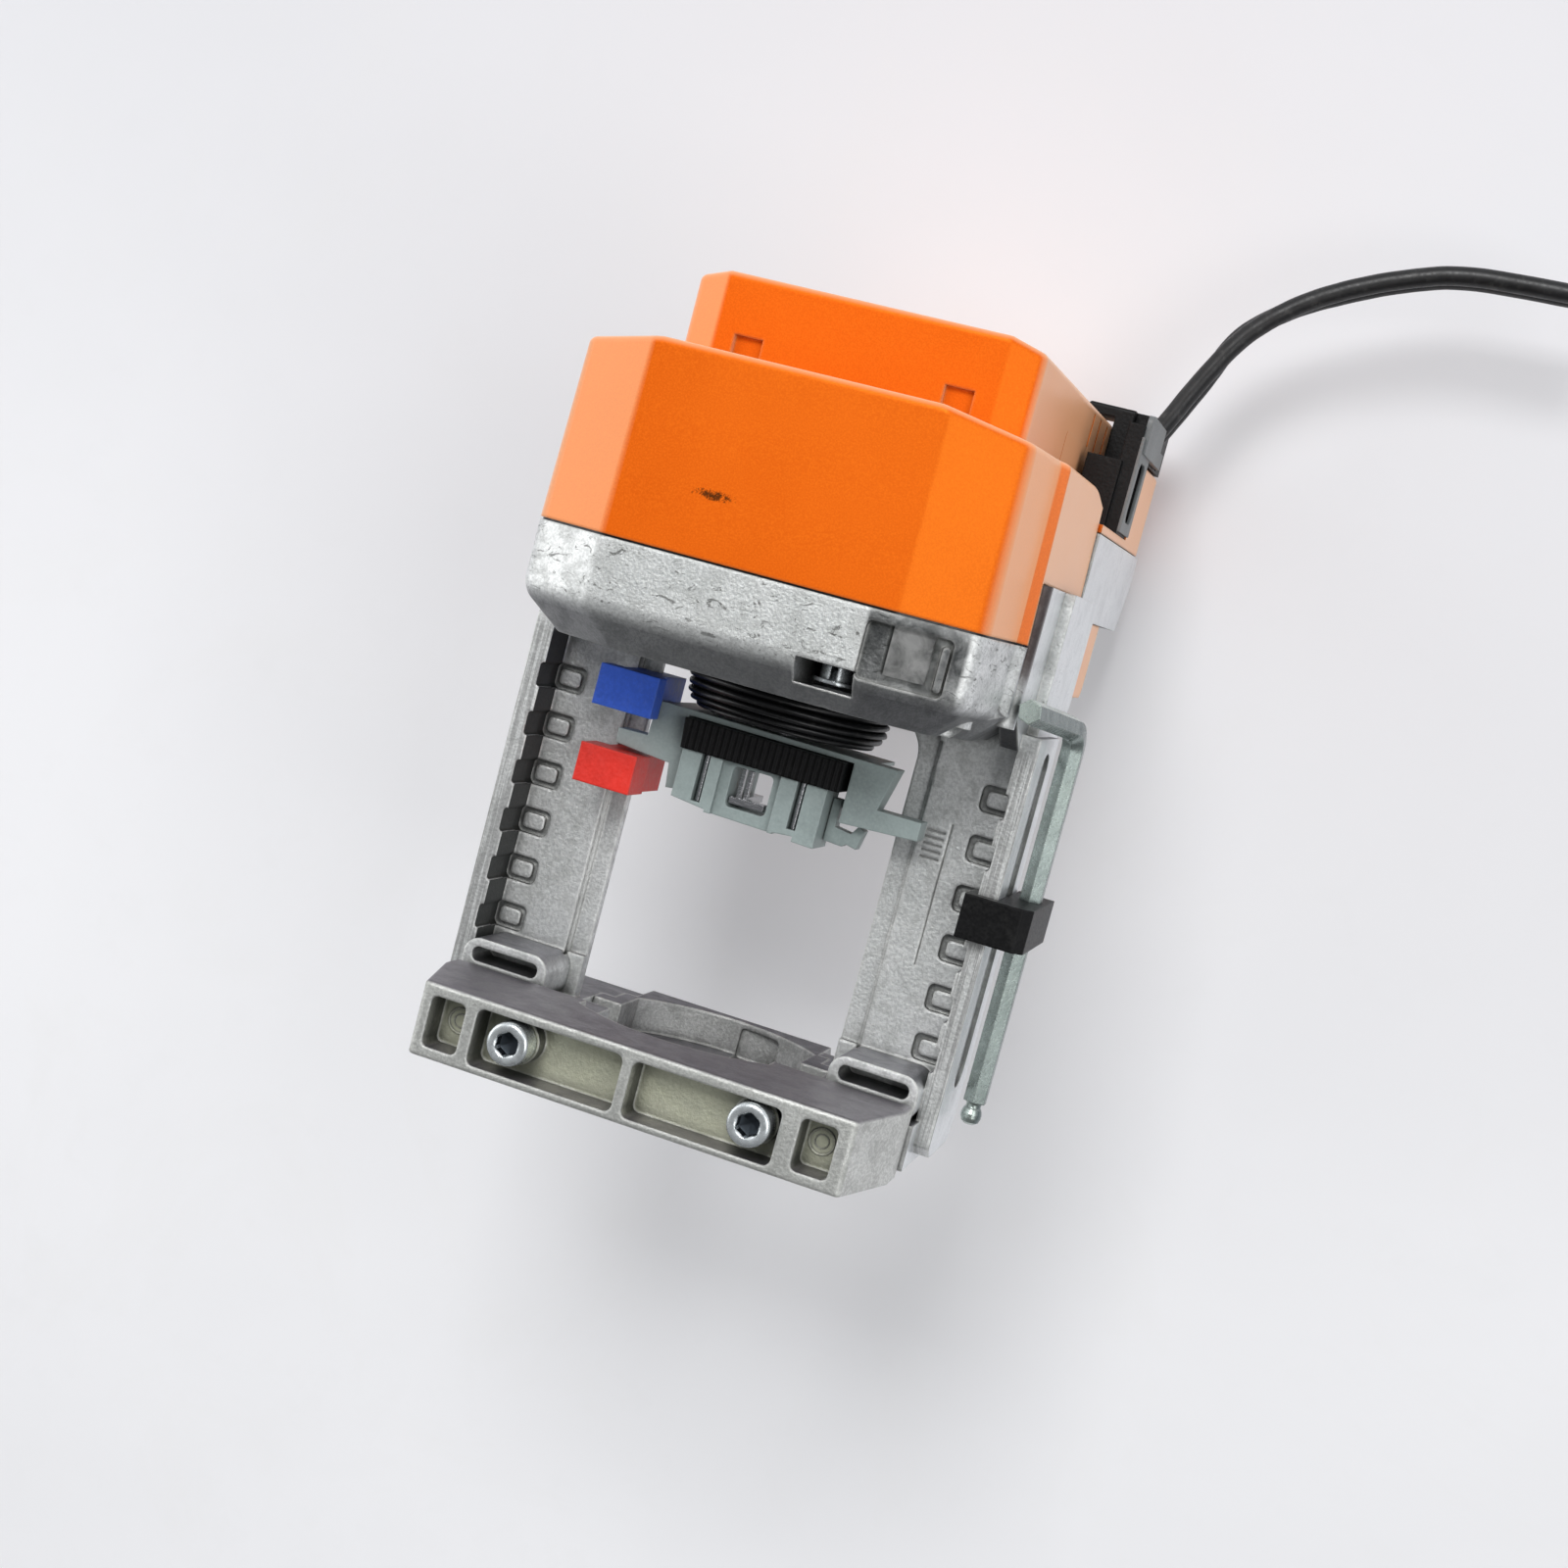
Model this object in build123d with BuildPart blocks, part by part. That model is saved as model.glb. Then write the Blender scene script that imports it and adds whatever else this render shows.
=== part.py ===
from build123d import *
import math
import os

# Linear valve actuator: yoke with neck clamp, stem coupling, gear train, two-tier cover, cable entry.
# Origin: spindle axis at the underside of the neck clamp. +Z up to the cover, front is -Y.
# Millimetres. Each piece has its own build function and is written to its own STEP file.

os.makedirs("parts", exist_ok=True)

CUT = Mode.SUBTRACT

# ---------------------------------------------------------------- shared dimensions
RUN = 0.05  # radial running clearance
NECK_R = 23.5  # clamped neck radius
LIP_H = 4.0  # height of the clamping lip
FOOT_H = 12.6  # top of the yoke foot
SPINDLE_R = 5.0
COLLAR_R = 9.0  # spindle collar, also the nut gear hub
BUSH_R = 12.0  # outside of the nut gear bushes

BAR_Y = -50.1  # front face of the clamp bar
SCREW_R = 3.0  # clamp screw shank
SCREW_X, SCREW_Z = 28.7, 9.3
CLAMP_SCREWS = [(SCREW_X, SCREW_Z), (-SCREW_X, SCREW_Z)]

CAST_Z = 100.0  # underside of the gear case
RIDGE_Z = 107.5  # lower front ridge of the gear case
SEAM_Z = 123.0  # top of the gear case at the front
SIDE_Z = 137.0  # top of the gear case at the sides
CASE_HALF = 56.0  # half width of gear case and body
CASE_BACK = 31.0  # rear face of the gear case
COVER_Z = 123.5  # underside of the front cover
ROOF_Z = 166.7  # top of the front cover
ROOF_HALF = 31.0  # half width of the flat part of that roof
ROOF_SLOPE = 0.155  # fall of the roof outside the flat part
COVER_EDGE = 1.6  # rounding of the cover edges
BODY_BACK = 113.8  # rear face of the body
WING_Z0, WING_Z1 = 132.5, 153.5  # bottom and top of the rear tray

PILLARS = [(-35.0, -40.0), (35.0, -40.0), (-34.0, 16.0), (34.0, 16.0)]
COVER_POSTS = [(-46.0, -38.0), (46.0, -38.0), (-47.0, 20.0), (47.0, 20.0)]
BOARD_POSTS = [(-44.0, 46.0), (44.0, 46.0), (-44.0, 104.0), (44.0, 104.0)]

# hexagon key: upright shank, then a short arm to KEY_END
KEY_X, KEY_Y = 67.0, 4.3
KEY_BOTTOM, KEY_TOP = 17.5, 107.5
KEY_END = (60.5, -31.0, 109.9)


def symmetric(right):
    """Closed (x, y) outline from its right half, starting at the first point's mirror image."""
    left = [(-x, y) for x, y in right]
    return [left[0], *right, *reversed(left[1:])]


CASE_PLAN = symmetric([(33.0, -62.0), (51.2, -53.5), (53.9, -32.4), (56.0, -30.5), (56.0, CASE_BACK)])
CASE_PLAN_LOW = symmetric([(27.0, -54.5), (43.0, -47.5), (46.5, -30.0), (48.0, -28.0), (48.0, 25.0)])


# ---------------------------------------------------------------- drawing helpers
def at_x(x):
    """Plane facing +X; its coordinates are (y, z)."""
    return Plane.YZ.offset(x)


def at_y(y):
    """Plane facing the front, -Y, so a positive length runs forward; coordinates are (x, z)."""
    return Plane.XZ.offset(-y)


def at_z(z):
    """Plane facing up; its coordinates are (x, y)."""
    return Plane.XY.offset(z)


# These helpers extrude into the part block that is open where they are called.
def extrude_each(plane, draw, length, places, mode):
    with BuildSketch(plane) as section:
        with Locations(*places):
            draw()
    extrude(section.sketch, amount=length, mode=mode)


def discs(plane, radius, length, places=((0, 0),), mode=Mode.ADD):
    extrude_each(plane, lambda: Circle(radius), length, places, mode)


def blocks(plane, size, length, places=((0, 0),), mode=Mode.ADD):
    extrude_each(plane, lambda: Rectangle(*size), length, places, mode)


def rounded_blocks(plane, size, corner, length, places, mode=Mode.ADD):
    extrude_each(plane, lambda: RectangleRounded(*size, corner), length, places, mode)


def hexagons(plane, half_flats, length, places, mode=Mode.ADD):
    extrude_each(
        plane, lambda: RegularPolygon(half_flats, 6, major_radius=False), length, places, mode
    )


def cut_slots(plane, spacing, width, length, places):
    """Round-ended slots along the plane's second axis."""
    extrude_each(
        plane, lambda: SlotCenterToCenter(spacing, width, rotation=90), length, places, CUT
    )


def cut_crosses(bottom, span, depth, places):
    """Cross recesses for a screwdriver."""

    def cross():
        Rectangle(span, 0.6)
        Rectangle(0.6, span)

    extrude_each(at_z(bottom), cross, depth, places, CUT)


def prism(plane, points, length, mode=Mode.ADD):
    with BuildSketch(plane) as section:
        with BuildLine():
            Polyline(*points, close=True)
        make_face()
    extrude(section.sketch, amount=length, mode=mode)


def stacked_discs(places, *stack):
    """Discs at the same places; stack entries are (bottom, radius, height)."""
    for bottom, radius, height in stack:
        discs(at_z(bottom), radius, height, places)


def draw_case_plan(sketch, corners=CASE_PLAN, inset=0.0):
    """Draw the rounded gear case plan in the open sketch, moved inward by inset."""
    with BuildLine() as outline:
        Polyline(*corners, close=True)
    make_face(outline.edges())
    for index, radius in ((0, 4.0), (2, 5.0)):
        y = corners[index][1]
        fillet(sketch.vertices().filter_by_position(Axis.Y, y - 0.5, y + 0.5), radius=radius)
    if inset:
        offset(amount=-inset, kind=Kind.INTERSECTION)


def jaw_outline(front, gap=0.0):
    """Stepped plan of the rear jaw, grown by gap for its pocket."""
    return symmetric([
        (31 + gap, front), (31 + gap, 14 + gap), (27.5 + gap, 14 + gap),
        (27.5 + gap, 22 + gap), (24.5 + gap, 22 + gap), (24.5 + gap, 40 + gap),
    ])


def roof_outline(lift, bottom, half):
    """Cross-section (x, z) under the sloping front cover roof, raised by lift."""
    top = ROOF_Z + lift
    edge = top - (half - ROOF_HALF) * ROOF_SLOPE
    return symmetric([(half, bottom), (half, edge), (ROOF_HALF, top)])


# ---------------------------------------------------------------- gear train layout
# Nut gear, wheel B with its pinion, wheel A with its pinion, motor and manual pinions on wheel A.
WHEEL_TEETH, PINION_TEETH = 54, 18
NUT_MODULE, MID_MODULE, FAST_MODULE = 0.8, 0.6, 0.5
NUT_Z, NUT_WIDTH = 108, 5  # bottom and width of each level of teeth
MID_Z, MID_WIDTH = 114, 3
FAST_Z, FAST_WIDTH = 118, 2.5
PIN_R = 1.5  # gear pins
MOTOR_SHAFT_R = 1.0
MANUAL_SHAFT_R = 2.5


def centre_distance(module):
    return module * (WHEEL_TEETH + PINION_TEETH) / 2


def far_corner(point, from_origin, from_point):
    """Point at the two given distances, clockwise of the line from the origin to point."""
    span = math.hypot(*point)
    along = (from_origin**2 - from_point**2 + span**2) / (2 * span)
    aside = math.sqrt(from_origin**2 - along**2)
    ux, uy = point[0] / span, point[1] / span
    return (along * ux + aside * uy, along * uy - aside * ux)


MANUAL = (21.8, -50.0)
MANUAL_ANGLE = math.radians(160)  # direction from the manual shaft to wheel A
FAST_CENTRES = centre_distance(FAST_MODULE)
AXIS_A = (
    MANUAL[0] + FAST_CENTRES * math.cos(MANUAL_ANGLE),
    MANUAL[1] + FAST_CENTRES * math.sin(MANUAL_ANGLE),
)
AXIS_B = far_corner(AXIS_A, centre_distance(NUT_MODULE), centre_distance(MID_MODULE))
MOTOR = (AXIS_A[0] - FAST_CENTRES, AXIS_A[1])
MOTOR_HOLES = [(MOTOR[0], MOTOR[1] + 8), (MOTOR[0], MOTOR[1] - 8)]


def gear_outline(module, teeth, phase, centre, thin=0.05):
    """Closed involute outline, 20 degree pressure angle, a tooth centred at phase (radians)."""
    pressure = math.radians(20)
    pitch_r = module * teeth / 2
    base_r = pitch_r * math.cos(pressure)
    tip_r = pitch_r + module * 0.96
    root_r = pitch_r - 1.25 * module

    def involute(angle):
        return math.tan(angle) - angle

    half = (math.pi * module / 2 - thin) / (2 * pitch_r) + involute(pressure)
    start_r = max(base_r, root_r)
    radii = [start_r + (tip_r - start_r) * k / 4 for k in range(5)]
    # flank entries are (radius, half angle of the tooth there)
    flank = [(root_r, half)] if root_r < base_r else []
    flank += [(r, half - involute(math.acos(min(1.0, base_r / r)))) for r in radii]
    points = []
    for k in range(teeth):
        middle = phase + 2 * math.pi * k / teeth
        sides = [(r, middle - w) for r, w in flank]
        sides += [(r, middle + w) for r, w in reversed(flank)]
        for r, angle in sides:
            points.append((centre[0] + r * math.cos(angle), centre[1] + r * math.sin(angle)))
    return points


def pinion_phase(wheel_centre, pinion_centre):
    """Phase that puts a pinion in mesh with a wheel of phase 0."""
    dx = pinion_centre[0] - wheel_centre[0]
    dy = pinion_centre[1] - wheel_centre[1]
    direction = math.atan2(dy, dx)
    fraction = (direction * WHEEL_TEETH / (2 * math.pi)) % 1.0
    return direction + math.pi - 2 * math.pi / PINION_TEETH * (0.5 - fraction)


def wheel_teeth(bottom, width, module, centre):
    prism(at_z(bottom), gear_outline(module, WHEEL_TEETH, 0.0, centre), width)


def pinion_teeth(bottom, width, module, centre, wheel_centre):
    phase = pinion_phase(wheel_centre, centre)
    prism(at_z(bottom), gear_outline(module, PINION_TEETH, phase, centre), width)


# ---------------------------------------------------------------- yoke and gear case casting
WALL = 3.0
RIDGE_R = 6.0  # rounding of the lower front ridge
FOOT_Y = -19.2  # front face of the yoke foot
COL_X = 62.0  # outer face of the columns
WEB_IN = 33.0  # half width of the yoke window
WEB_Y0, WEB_Y1 = -1.0, 3.0  # column web, front and back
FLANGE_IN = 57.3  # inner face of the column flange
FLANGE_Y0, FLANGE_Y1 = -12.0, 15.0
HOOD_X = 46.5
STOP_Z = [27 + 12 * k for k in range(6)]  # heights of the stop pockets


def add_right_side():
    """Right side plates, column, foot half and hood."""
    # side plates, wide at the top and running down into the column flanges
    prism(
        at_x(55.9),
        [(-7, 100), (-7, SIDE_Z), (31, SIDE_Z), (31, 112), (22, 101), (FLANGE_Y1, 96)],
        4.1,
    )
    prism(
        at_x(53.0),
        [
            (FLANGE_Y0, 100), (-19, 104), (-26.5, 108), (-26.5, SIDE_Z), (-6, SIDE_Z), (-6, 100),
        ],
        4.4,
    )
    discs(at_z(105), 2.5, SIDE_Z - 105, [(55.0, -26.6)])
    # column web and outer flange
    web_bottom, web_top = FOOT_H - 2, CAST_Z + 2
    blocks(
        at_z(web_bottom), (COL_X - WEB_IN, WEB_Y1 - WEB_Y0), web_top - web_bottom,
        [((WEB_IN + COL_X) / 2, (WEB_Y0 + WEB_Y1) / 2)],
    )
    prism(
        at_x(FLANGE_IN),
        [
            (FLANGE_Y0, 7), (FLANGE_Y0 + 3, 4.5), (12, 4.5), (FLANGE_Y1, 13), (FLANGE_Y1, 104),
            (FLANGE_Y0, 104),
        ],
        COL_X - FLANGE_IN,
    )
    # foot block, its rear extension and the raised hood
    foot_x = FLANGE_IN + 1
    prism(
        at_z(2),
        [(0, FOOT_Y), (foot_x, FOOT_Y), (foot_x, 12), (50, 27), (0, 27)],
        FOOT_H - 2,
    )
    blocks(at_z(2), (44, 24), 6, [(22, 32)])
    rounded_blocks(at_y(-1.0), (21.6, 11.0), 4.0, 16.5, [(HOOD_X, 17.5)])


def add_rear_tray():
    """Tray with cut lower corners, and the rib below it."""
    prism(
        at_x(-CASE_HALF),
        [
            (27, 128), (27, SIDE_Z), (31.3, SIDE_Z), (31.3, WING_Z1), (BODY_BACK, WING_Z1),
            (BODY_BACK, 145), (BODY_BACK - 7, WING_Z0), (40, WING_Z0),
        ],
        2 * CASE_HALF,
    )
    blocks(at_z(118), (108, 11), WING_Z0 - 118, [(0, 84.5)])


def hollow_rear_tray():
    front, back, floor = 37, BODY_BACK - WALL, 136
    blocks(
        at_z(floor), (105, back - front), WING_Z1 - floor + 1, [(0, (front + back) / 2)], CUT
    )
    # passage between the gear case and the tray
    blocks(at_z(140), (104, 14), WING_Z1 - 140 + 1, [(0, 33)], CUT)


def add_bosses():
    """Bush seat, pillars, cover posts, manual drive housing, board posts, bellows boss."""
    discs(at_z(103), 16, 4.6)
    discs(at_z(103), 4, 21, PILLARS)
    discs(at_z(103), 4.2, 20, COVER_POSTS)
    blocks(at_z(103), (19, 14.8), 9, [(21.5, -49.4)])
    discs(at_z(134), 3.5, 8, BOARD_POSTS)
    discs(at_z(99), 26.5, 2)


def open_yoke():
    """Neck opening, jaw pocket and the window between the columns."""
    blocks(at_z(-1), (2 * (NECK_R + 0.1), 48), FOOT_H + 2, [(0, -2)], CUT)
    prism(at_z(-1), jaw_outline(0, gap=0.1), FOOT_H + 2, CUT)
    rounded_blocks(at_y(30), (2 * WEB_IN, 87.4), 7.0, 28, [(0, 56.3)], CUT)
    # rounded rim in each top corner of the window, larger on the right
    rim_top, rim_outer = 100.4, WEB_IN + 0.5
    for s, size in ((-1, 3.0), (1, 8.0)):
        inner, low = WEB_IN - size, 99.6 - size
        with BuildSketch(at_y(0.8)) as rim:
            with BuildLine():
                Line((s * rim_outer, rim_top), (s * inner, rim_top))
                Line((s * inner, rim_top), (s * inner, 99.9))
                RadiusArc((s * inner, 99.9), (s * WEB_IN, low), s * (size + 0.4))
                Line((s * WEB_IN, low), (s * rim_outer, low))
                Line((s * rim_outer, low), (s * rim_outer, rim_top))
            make_face()
        extrude(rim.sketch, amount=-2.2)


def detail_columns():
    # sunk strip along the window edge, and a fine groove beside it
    blocks(at_y(WEB_Y0 + 1.8), (4.6, 76), 10, [(35.2, 61), (-35.2, 61)], CUT)
    blocks(at_y(WEB_Y0 + 1.1), (0.8, 82), 3, [(37.9, 56), (-37.9, 56)], CUT)
    # six stop pockets per column, each a ring groove round a sunk island
    stops = [(s * 54.4, z) for z in STOP_Z for s in (-1, 1)]
    rounded_blocks(at_y(WEB_Y0 + 0.5), (8.4, 6.5), 1.6, 3, stops, CUT)
    with BuildSketch(at_y(WEB_Y0 + 1.8)) as grooves:
        with Locations(*stops):
            RectangleRounded(8.4, 6.5, 1.6)
            RectangleRounded(5.4, 3.7, 1.0, mode=CUT)
    extrude(grooves.sketch, amount=3, mode=CUT)
    # matching scallops in the flanges
    scallops = [(s * FLANGE_IN, z) for z in STOP_Z for s in (-1, 1)]
    rounded_blocks(at_y(-2), (2.0, 6.0), 0.9, 11, scallops, CUT)
    # shallow recess down the outer face of each column
    for s in (-1, 1):
        cut_slots(at_x(s * COL_X), 72, 9, -s * 1.0, [(3.0, 60)])
    # graduation on the right column: one long upright line, five short level lines
    graduation = at_y(WEB_Y0 + 0.35)
    blocks(graduation, (0.4, 34), 1, [(45.6, 62)], CUT)
    blocks(graduation, (4.6, 0.5), 1, [(42.2, 70.0 + 1.6 * k) for k in range(5)], CUT)
    # pocket under each hood
    rounded_blocks(at_y(-6.0), (17.0, 3.6), 1.6, 20, [(HOOD_X, 19.2), (-HOOD_X, 19.2)], CUT)
    # groove that clears the short arm of the hexagon key
    arm = (KEY_END[0] - KEY_X, KEY_END[1] - KEY_Y, KEY_END[2] - KEY_TOP)
    discs(Plane(origin=(KEY_X, KEY_Y, KEY_TOP), z_dir=arm), 3.7, 60, mode=CUT)


def drill_gear_case():
    # bush seat, spindle hole, gear pin holes
    discs(at_z(101), BUSH_R + RUN, 10, mode=CUT)
    discs(at_z(98), 6.0, 5, mode=CUT)
    discs(at_z(102), PIN_R + RUN, 10, [AXIS_A, AXIS_B], CUT)
    # pilot holes in pillars and board posts
    discs(at_z(112), 1.55, 20, PILLARS, CUT)
    discs(at_z(136.5), 1.3, 8, BOARD_POSTS, CUT)
    # counterbored clearance holes for the cover screws
    discs(at_z(95), 2.1, 30, COVER_POSTS, CUT)
    discs(at_z(95), 3.6, 13, COVER_POSTS, CUT)
    # window in the sloped front for the manual drive, with its bearing and key access
    blocks(at_z(104.0), (13.0, 24.5), 5.4, [(21.5, -53.9)], CUT)
    discs(at_z(95), 4.6, 10, [MANUAL], CUT)
    discs(at_z(105), MANUAL_SHAFT_R + RUN, 10, [MANUAL], CUT)


def detail_right_front_corner():
    """Sunk panel round the corner, with an upright rib left standing at its end."""
    panel = Plane(
        origin=(42.1, -57.75, 114.4), x_dir=(0.906, 0.423, 0), z_dir=(0.423, -0.906, 0)
    )
    rounded_blocks(panel, (15.4, 12.4), 1.4, -1.2, [(-3.7, 0)], CUT)
    rounded_blocks(panel, (1.6, 9.6), 0.7, -2.0, [(2.6, -0.2)])
    rounded_blocks(at_y(-60.8), (5.4, 12.4), 1.4, 4, [(30.6, 114.4)], CUT)


def build_casting():
    with BuildPart() as casting:
        # sloped underside of the gear case, then the straight rim
        with BuildSketch(at_z(CAST_Z)) as low_plan:
            draw_case_plan(low_plan, CASE_PLAN_LOW)
        with BuildSketch(at_z(RIDGE_Z)) as ridge_plan:
            draw_case_plan(ridge_plan)
        loft(ruled=True)
        with BuildSketch(at_z(RIDGE_Z)) as rim_plan:
            draw_case_plan(rim_plan)
        extrude(amount=SEAM_Z - RIDGE_Z)
        # rounded lower ridge across the front
        ridge = casting.edges().filter_by_position(Axis.Z, RIDGE_Z - 0.01, RIDGE_Z + 0.01)
        fillet(ridge.filter_by_position(Axis.Y, -63, -33), radius=RIDGE_R)
        # raised side and back walls
        prism(
            at_z(SEAM_Z),
            [
                (-CASE_HALF, -28.8), (CASE_HALF, -28.8), (CASE_HALF, CASE_BACK),
                (-CASE_HALF, CASE_BACK),
            ],
            SIDE_Z - SEAM_Z,
        )
        add_right_side()
        mirror(about=Plane.YZ)
        add_rear_tray()

        # gear case cavity, narrower at the bottom
        with BuildSketch(at_z(104.5)) as lower_cavity:
            draw_case_plan(lower_cavity, inset=WALL + 5)
        extrude(amount=8, mode=CUT)
        with BuildSketch(at_z(110.5)) as upper_cavity:
            draw_case_plan(upper_cavity, inset=WALL)
        extrude(amount=SIDE_Z - 110.5 + 1, mode=CUT)
        hollow_rear_tray()
        add_bosses()
        open_yoke()
        detail_columns()
        drill_gear_case()
        detail_right_front_corner()
        # tapped holes for the clamp screws in the foot
        discs(at_y(-25), SCREW_R + RUN, -20, CLAMP_SCREWS, CUT)
    return casting.part


# ---------------------------------------------------------------- neck clamp
FRONT_R = 34.0  # relief in the clamp bar above the lip
REAR_R = 32.0  # relief in the rear jaw above the lip
RELIEF_WIDTH = 47.2
BAR_H = 17.2
BAR_BACK = -19.6  # rear face of the clamp bar
HEAD_Y = -51.8  # front of the clamp screw heads
HEAD_H = 6.0
SCREW_TIP_Y = -6.5


def build_rear_jaw():
    """Rear half of the neck clamp, keyed into the foot."""
    half_relief = RELIEF_WIDTH / 2
    with BuildPart() as rear_jaw:
        prism(at_z(0), jaw_outline(8.2), FOOT_H)
        # relief above the lip: straight sides running into the rear arc
        with BuildSketch(at_z(LIP_H)):
            with BuildLine():
                Polyline(
                    (-half_relief, 0), (half_relief, 0), (half_relief, 21.6),
                    (-half_relief, 21.6), close=True,
                )
            make_face()
            Circle(REAR_R)
            with Locations((0, 20)):
                Rectangle(RELIEF_WIDTH, 40, mode=Mode.INTERSECT)
        extrude(amount=20, mode=CUT)
        # neck bore through the lip
        discs(at_z(-1), NECK_R, 30, mode=CUT)
        # falling rear edge
        prism(
            at_x(-40),
            [(35.0, FOOT_H + 1), (41, FOOT_H + 1), (41, 8.0), (38.6, 8.0), (35.0, FOOT_H)],
            80, CUT,
        )
        # rounded recess in the arc
        rounded_blocks(at_y(33), (11, 8.0), 1.2, 6, [(7, 7.2)], CUT)
    return rear_jaw.part


def build_clamp_bar():
    with BuildPart() as clamp_bar:
        prism(at_z(0), symmetric([(51.5, BAR_Y), (57.3, -27), (57.3, BAR_BACK)]), BAR_H)
        fillet(clamp_bar.edges().filter_by(Axis.Z).group_by(Axis.Y)[0], radius=1.6)
        fillet(clamp_bar.faces().sort_by(Axis.Z)[-1].edges(), radius=0.9)
        fillet(clamp_bar.faces().sort_by(Axis.Z)[0].edges(), radius=0.6)
        # relief above the lip, then the neck bore
        with BuildSketch(at_z(LIP_H)):
            Circle(FRONT_R)
            with Locations((0, -20)):
                Rectangle(RELIEF_WIDTH, 40, mode=Mode.INTERSECT)
        extrude(amount=20, mode=CUT)
        discs(at_z(-1), NECK_R, 30, mode=CUT)
        # four pockets in the front face
        with BuildSketch(at_y(BAR_Y)):
            with Locations((-44.7, 8.5), (43.8, 8.5)):
                RectangleRounded(8.6, 11.9, 1.6)
            with Locations((-20.0, 8.3)):
                RectangleRounded(35.4, 13.2, 1.8)
            with Locations((17.6, 8.1)):
                RectangleRounded(35.2, 13.0, 1.8)
        extrude(amount=-8.5, mode=CUT)
        # round boss under each screw head, then the clearance hole
        discs(at_y(BAR_Y + 8.6), 5.4, 4.2, CLAMP_SCREWS)
        discs(at_y(BAR_Y), SCREW_R + RUN, -40, CLAMP_SCREWS, CUT)
    return clamp_bar.part


def build_clamp_screw(side):
    """M6 socket head screw; side is -1 for left, 1 for right."""
    place = [(side * SCREW_X, SCREW_Z)]
    with BuildPart() as screw:
        discs(at_y(HEAD_Y), 5.0, -HEAD_H, place)
        chamfer(screw.edges().filter_by(GeomType.CIRCLE).sort_by(Axis.Y)[0], length=0.5)
        head_back = HEAD_Y + HEAD_H
        discs(at_y(head_back), SCREW_R, head_back - SCREW_TIP_Y, place)
        hexagons(at_y(HEAD_Y), 2.5, -3.2, place, CUT)
    return screw.part


# ---------------------------------------------------------------- covers and gasket
TIER_Z = 188.0  # top of the rear cover
TIER_BACK = 122.0  # rear face of the upper tier
TIER_HALF = 41.5
TIER_FRONT_HALF = 33.3  # half width of the tier's front face, also of its flat top
TIER_ROOF = 2.6  # thickness of the tier's roof
COVER_WALL = 2.5
REAR_COVER_Z = 153.8  # underside of the rear cover
BODY_Z = 175.8  # top of the low rear body


def tier_plan(back):
    return symmetric([(TIER_FRONT_HALF, -22.4), (TIER_HALF, -18.4), (TIER_HALF, back)])


def build_front_cover():
    below = COVER_Z - 1  # start of cuts that open the underside
    with BuildPart() as cover:
        with BuildSketch(at_z(COVER_Z)) as outer_plan:
            draw_case_plan(outer_plan)
        extrude(amount=50, taper=1.5)
        prism(at_y(60), roof_outline(0, 100, 70), 140, Mode.INTERSECT)
        roof_edges = cover.edges().filter_by_position(Axis.Z, 158, 168)
        fillet(roof_edges.filter_by_position(Axis.Y, -63, 30.5), radius=COVER_EDGE)
        with BuildSketch(at_z(below)) as inner_plan:
            draw_case_plan(inner_plan, inset=2.6)
        extrude(amount=160.0 - below, taper=1.5, mode=CUT)
        # side skirts end above the raised gear case walls
        blocks(at_z(below), (130, 79), SIDE_Z + 0.2 - below, [(0, 10.2)], CUT)
        # falling rear shoulder
        prism(
            at_x(-70), [(8, 170), (11, 163.4), (31.2, 159.3), (34, 159.3), (34, 170)], 140, CUT
        )
        # opening under the rear cover
        prism(at_z(150), symmetric([(30, -17.5), (37, -14), (37, 40)]), 40, CUT)
        # screw posts
        discs(at_z(COVER_Z), 3.8, 160.5 - COVER_Z, COVER_POSTS)
        discs(at_z(below), 2.05, 14, COVER_POSTS, CUT)
    return cover.part


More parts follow.
